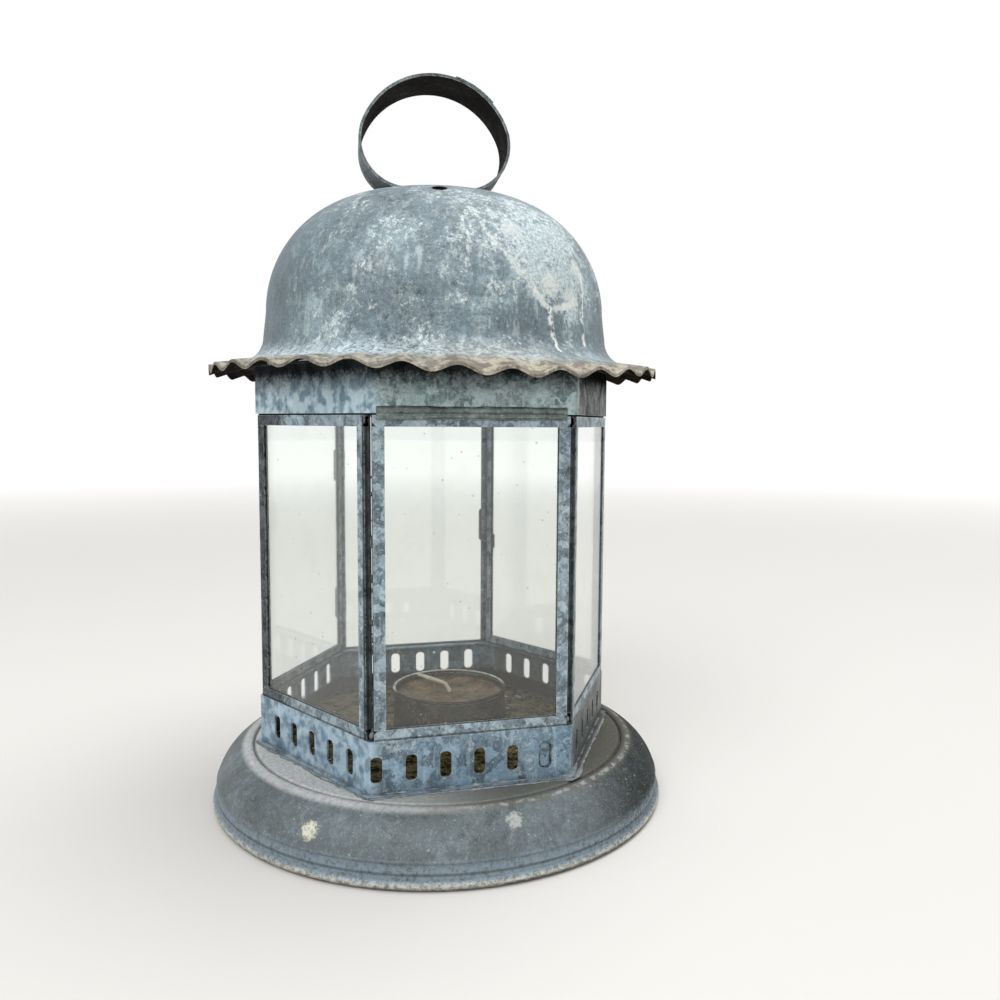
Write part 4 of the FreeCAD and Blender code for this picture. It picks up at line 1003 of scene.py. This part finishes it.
# %% Floor grit
GRAINS = 90
GRAIN_SIZES, GRAIN_STRETCH, GRAIN_HEIGHT = (0.15, 0.6), (1, 2), 0.15
FLOOR_REACH, GRIT_FLAT, CUP_CLEAR = 50, 51.0, 23.0
GRAIN_LIFT, CHIP_LIFT = 0.08, 0.15
LIME_CHIPS, CHIP_SIZE = ((32.9, 29.0), (37.7, 28.0)), (1.5, 0.8, 0.3)


def within_walls(x, y):
    return max(abs(heading(angle).dot(Vector((x, y, 0)))) for angle in (30, 90, 150)) < GRIT_FLAT


grit = []
while len(grit) < GRAINS:
    x, y = rng.uniform(-FLOOR_REACH, FLOOR_REACH, 2)
    if within_walls(x, y) and math.hypot(x - CUP_CENTRE.x, y - CUP_CENTRE.y) > CUP_CLEAR:
        size = rng.uniform(*GRAIN_SIZES) ** 1.3
        widths = (size * rng.uniform(*GRAIN_STRETCH), size, GRAIN_HEIGHT)
        grit.append(((x, y, PLATE_TOP + GRAIN_LIFT), widths))
for x, y in LIME_CHIPS:
    grit.append(((x, y, PLATE_TOP + CHIP_LIFT), CHIP_SIZE))
lime_chip = weathered_zinc(
    "lime_chips", "#8e8a7c", "#b3afa1", "#d2cfc2", cloud=3.0, speck=0.3, rough=0.8, metal=0.0, dirt_and_shade=0.2,
    wear=0.0, seed=13.0)
settle(scatter("floor_grit", grit, 1), "lantern_body", lime_chip)

# %% [markdown]
# ## The roof
# The roof was spun from one disc. The cove over the skirt holds white chalk, thickest at
# the left, the fluted skirt is rubbed down to beige, and the underside is painted black as
# shade. Height and radius find them all but the underside, which the way it faces gives away.

# %% The roof's cove, skirt and underside shade
COVE_EDGE, COVE_WANDER = (155.0, 147.0), 7.0
CHALK_WEST = -30.0
CHALK_EAST = 34.0
SKIRT_EDGE, SKIRT_GRAIN = (69.0, 75.0), 5.0
LIP_EDGE = (77.6, 78.8)


def lay_cove_chalk(sheet):
    tree, east = sheet.tree, along(sheet.tree, sheet.where, 0)
    low = calc(tree, "MULTIPLY_ADD", sheet.fine, -COVE_WANDER * MM, height_of(tree, sheet.where))
    cove = sheet.ragged(rise(tree, low, *COVE_EDGE), 0.40, 0.56)
    chalk = layer(tree, hue("#a8a297"), hue("#d0d3cf"), ramp(tree, sheet.fine, 0.42, 0.56))
    chalk = layer(tree, chalk, hue("#dae9f1"), rise(tree, east, 0.0, CHALK_WEST))
    thick = layer(tree, (0.95,) * 4, (0.10,) * 4, rise(tree, east, 0.0, CHALK_EAST))
    sheet.lay(chalk, both(tree, cove, thick))


def lay_skirt(sheet):
    tree, radius = sheet.tree, radius_of(sheet.tree, sheet.where)
    edge = layer(tree, hue("#6b614e"), hue("#aba18c"), ramp(tree, sheet.fine, 0.44, 0.57))
    pitted = calc(tree, "MULTIPLY", ramp(tree, sheet.sand, 0.48, 0.38), 0.8)
    edge = layer(tree, edge, hue("#4d463c"), pitted)
    ragged_radius = calc(tree, "MULTIPLY_ADD", sheet.sand, SKIRT_GRAIN * MM, radius)
    sheet.lay(edge, calc(tree, "MULTIPLY", rise(tree, ragged_radius, *SKIRT_EDGE), 0.85))
    sheet.lay("#4a4237", calc(tree, "MULTIPLY", rise(tree, radius, *LIP_EDGE), 0.7))


def lay_underside_shade(sheet):
    # Painted shade: faces that look down are painted near black.
    under = ramp(sheet.tree, along(sheet.tree, facing(sheet.tree), 2), -0.10, -0.35)
    sheet.lay("#14110c", calc(sheet.tree, "MULTIPLY", under, 0.97))


def roof_washes(sheet):
    for coat in (lay_cove_chalk, lay_skirt, lay_underside_shade):
        coat(sheet)


# %% [markdown]
# ### Where the roof is damp
# White lime blooms over the crown and down its right side. The tables say which sides
# are damper or drier, where lime is thickest, and where water ran: these marks are what
# an eye knows this roof by, so they have places of their own and the rest is noise.

# %% The roof's marks
DAMP_SIDES = (
    ((27.0, -46.0, 184.0), 25.0, 0.15),
    ((10.0, -48.0, 190.0), 22.0, 0.06),
    ((33.0, -47.0, 174.0), 13.0, 0.05),
    ((-22.0, -50.0, 188.0), 10.0, 0.05),
    ((-45.0, -44.0, 152.0), 30.0, 0.03),
    ((-50.0, -20.0, 175.0), 34.0, -0.08),
    ((44.0, -38.0, 156.0), 16.0, -0.08),
    ((20.0, -56.0, 162.0), 16.0, -0.05),
)
ROOF_LIME = (
    ((12.5, -50.5, 190.0), 7.0, 0.6, "#d6dcd8"),
    ((24.6, -52.0, 174.9), 7.0, 0.85, "#dde2de"),
    ((32.5, -48.4, 171.2), 6.0, 0.85, "#dde2de"),
    ((35.5, -42.5, 181.0), 6.0, 0.7, "#dde2de"),
)
ROOF_RUNS = (
    ((-84.8, 188.0), (-71.3, 172.3), 1.6, 0.4),
    ((-71.3, 172.3), (-65.8, 166.8), 1.6, 0.75),
    ((-65.8, 166.8), (-64.6, 154.6), 0.9, 0.9),
    ((-65.8, 166.8), (-56.3, 168.7), 1.5, 0.7),
    ((-56.3, 168.7), (-48.9, 173.3), 1.5, 0.75),
    ((-48.3, 179.7), (-50.0, 157.3), 0.8, 0.95),
    ((-92.0, 189.0), (-93.0, 178.0), 0.7, 0.5),
)
print(len(DAMP_SIDES), "damp sides,", len(ROOF_LIME), "patches of lime,", len(ROOF_RUNS), "runs")

# %% [markdown]
# ### The roof's and the ring's zinc
# The roof is the palest sheet, with the thickest bloom, and painted shade on its left. The
# ring is a dark strip with bright thin edges, bent round and riveted, and darker inside.

# %% The roof and its ring
roof_zinc = weathered_zinc(
    "limed_zinc_roof", "#414e54", "#66777f", "#94a9b2", cloud=24.0, streak=0.35,
    bloom=0.95, bloom_low="#a3b7c0", bloom_hue="#dbe3e0", speck=0.6, rough=0.55, metal=0.25,
    dirt_and_shade=0.75, wear=0.5, wear_hue="#b8ab98", bump=0.3, seed=8.0,
    painted_shade=(-40.0, -66.0, "#56666e"), washes=roof_washes,
    damp_sides=DAMP_SIDES, lime=ROOF_LIME, runs=ROOF_RUNS)
finish(roof_zinc, "dome_roof", "roof_seat")
RING_CENTRE = (-2.4, 0.0, 226.0)
handle_zinc = weathered_zinc(
    "dark_ring_strip", "#363b3e", "#525a5e", "#7c8689", cloud=14.0, streak=0.2, bloom=0.4, speck=0.5,
    rough=0.75, metal=0.15, dirt_and_shade=0.5, wear=0.9, seed=9.0,
    dark_inside=(RING_CENTRE, (1.0, 0.0, 1.0), "#211d18"))
finish(handle_zinc, "ring_handle", "handle_rivet")

# %% [markdown]
# ## The candle cup
# A tin cup holds the brown, dusty remains of a candle. Its rim carries a painted highlight
# at the back, where the light falls on it; the rest has gone as brown as the floor.

# %% Cup, wax and wick
RIM_EDGE = (cup_high.z - 0.4, cup_high.z - 0.1)
RIM_BACK = (-4.0, 5.0)


def cup_rim_highlight(sheet):
    """The rim carries a painted highlight at the back, where it shows above the dirt."""
    tree, where = sheet.tree, sheet.where
    lit = sheet.ragged(rise(tree, height_of(tree, where), *RIM_EDGE), 0.38, 0.52)
    back = rise(tree, along(tree, where, 1), *RIM_BACK)
    sheet.lay("#d6d2c4", both(tree, lit, back))


cup_tin = weathered_zinc(
    "tarnished_cup", "#1d1a13", "#322d22", "#4d483a", cloud=8.0, speck=0.5, rough=0.75, metal=0.15,
    dirt_and_shade=0.7, wear=1.0, wear_hue="#d6d6cb", seed=10.0, washes=cup_rim_highlight)
finish(cup_tin, "candle_cup")
old_wax = weathered_zinc(
    "dusty_brown_wax", "#31240f", "#5a4424", "#866a3d", cloud=7.0, speck=0.5, bloom=0.3, bloom_hue="#9a917c",
    rough=0.6, metal=0.0, bump=0.5, dirt_and_shade=0.6, wear=0.0, seed=11.0)
finish(old_wax, "candle_stub")
wick = weathered_zinc(
    "waxed_wick", "#8d8674", "#b5ae9c", "#d8d3c4", cloud=3.0, speck=0.0, rough=0.7, metal=0.0, bump=0.6,
    dirt_and_shade=0.3, wear=0.0, seed=12.0)
finish(wick, "candle_wick")

# %% [markdown]
# ## The glass
# Old sheet glass, 1.5 mm thick, a little wavy. Soda-lime glass bends light with an index
# of about 1.52. Dust lies on it as a faint haze and pale specks, mixed in as a second
# shader. Light that a pane lets through to the inside is passed on by a plain transparent
# shader, because a renderer's shadow rays stop at glass.

# %% Glass
GLASS_INDEX = 1.52
WAVE_SIZE, WAVE_DEPTH = 30.0, 0.5
HAZE_SIZE, DUST_SPACING = 18.0, 4.0


def dust_on_glass(tree, where):
    """How much of the pane the haze and the specks cover."""
    haze = ramp(tree, clouds(tree, where, HAZE_SIZE, 6.0, 0.7, 4.0), 0.50, 0.75)
    dots = add(tree, "TexVoronoi", None, Vector=where, Scale=per_mm(DUST_SPACING))
    size = add(tree, "SeparateColor", None, Color=dots.outputs["Color"]).outputs[0]
    reach = calc(tree, "MULTIPLY", ramp(tree, size, 0.6, 1.0), 0.11)
    speck = ramp(tree, calc(tree, "SUBTRACT", reach, dots.outputs["Distance"]), 0.0, 0.03)
    haze = calc(tree, "MULTIPLY", haze, 0.03)
    return calc(tree, "ADD", haze, calc(tree, "MULTIPLY", speck, 0.6), clamp=True)


def sheet_glass():
    material, tree = new_material("old_sheet_glass")
    where = add(tree, "TexCoord").outputs["Object"]
    waves = clouds(tree, where, WAVE_SIZE, 1.0, 0.4, 1.0)
    wavy = add(tree, "Bump", None, Strength=0.05, Distance=WAVE_DEPTH * MM, Height=waves).outputs["Normal"]
    glass = add(tree, "BsdfPrincipled", None, Base_Color=hue("#f7faf8"), Roughness=0.03, IOR=GLASS_INDEX,
                Transmission_Weight=1.0, Normal=wavy)
    dust = add(tree, "BsdfPrincipled", None, Base_Color=hue("#c8c6bc"), Roughness=0.8)
    cover = dust_on_glass(tree, where)
    dusty = add(tree, "MixShader", None, i0=cover, i1=glass.outputs[0], i2=dust.outputs[0])
    clear = add(tree, "BsdfTransparent", None, Color=hue("#f4f7f5"))
    shadow = add(tree, "LightPath").outputs["Is Shadow Ray"]
    pane = add(tree, "MixShader", None, i0=shadow, i1=dusty.outputs[0], i2=clear.outputs[0])
    add(tree, "OutputMaterial", None, Surface=pane.outputs[0])
    return material


finish(sheet_glass(), *[name for name in cad if name.endswith("pane")])

# %% [markdown]
# ## The floor
# The object is judged by its own colours, so the stage is plain: a pale matt floor that
# keeps the lantern's shadow and grows white with distance. The white is added only for
# rays that the camera, a mirror or a pane sends out, so it lights nothing.

# %% Floor
FLOOR_RADIUS = 6.0
FLOOR_DROP = 0.2
WHITE_FROM, WHITE_TO = 0.25, 2.2


def looked_at(tree):
    """1 for a ray that the camera, a mirror or a pane sends out."""
    path = add(tree, "LightPath").outputs
    seen = calc(tree, "MAXIMUM", path["Is Camera Ray"], path["Is Transmission Ray"])
    return calc(tree, "MAXIMUM", seen, path["Is Glossy Ray"])


disc = bmesh.new()
bmesh.ops.create_circle(disc, cap_ends=True, segments=96, radius=FLOOR_RADIUS)
floor = as_piece("floor", disc, smooth=False)
floor.location.z = -FLOOR_DROP * MM
pale_floor, tree = new_material("pale_floor")
far = vector(tree, "LENGTH", add(tree, "TexCoord").outputs["Object"])["Value"]
white = calc(tree, "MULTIPLY", ramp(tree, far, WHITE_FROM, WHITE_TO), 0.62)
matt = add(tree, "BsdfPrincipled", None, Base_Color=hue("#e2e0dc"), Roughness=0.9,
           Emission_Color=(1, 1, 1, 1), Emission_Strength=both(tree, white, looked_at(tree)))
add(tree, "OutputMaterial", None, Surface=matt.outputs[0])
floor.data.materials.append(pale_floor)
print("floor is", FLOOR_RADIUS * 2, "m across")

# %% [markdown]
# ## The surround and the lamps
# The surround is white to the eye and half as strong as a light. Two large soft lamps,
# one from the front left and one from above, give the sheet its form without a hard
# shadow, as a window and a pale ceiling would.

# %% Surround and lamps
world = bpy.data.worlds.new("surround")
bpy.context.scene.world = world
world.use_nodes = True
world.node_tree.nodes.clear()
tree = world.node_tree
strength = add(tree, "Mix", {"data_type": "FLOAT"}, i0=looked_at(tree), i2=0.55, i3=1.0).outputs[0]
sky = add(tree, "Background", None, Color=(1, 1, 1, 1), Strength=strength)
add(tree, "OutputWorld", None, Surface=sky.outputs[0])

LAMP_SIDE = 0.8
LAMP_AIM = Vector((0, 0, 0.12))


def softbox(name, place, watts):
    lamp = bpy.data.lights.new(name, "AREA")
    lamp.size = LAMP_SIDE
    lamp.energy = watts
    holder = bpy.data.objects.new(name, lamp)
    bpy.context.scene.collection.objects.link(holder)
    holder.location = place
    holder.rotation_mode = "QUATERNION"
    holder.rotation_quaternion = (LAMP_AIM - Vector(place)).to_track_quat("-Z", "Y")
    print(name, "of", watts, "W at", place)


softbox("key_softbox", (-0.55, -0.75, 0.95), 9.0)
softbox("top_softbox", (0.35, 0.05, 1.1), 6.0)
bpy.context.scene.view_settings.view_transform = "Standard"
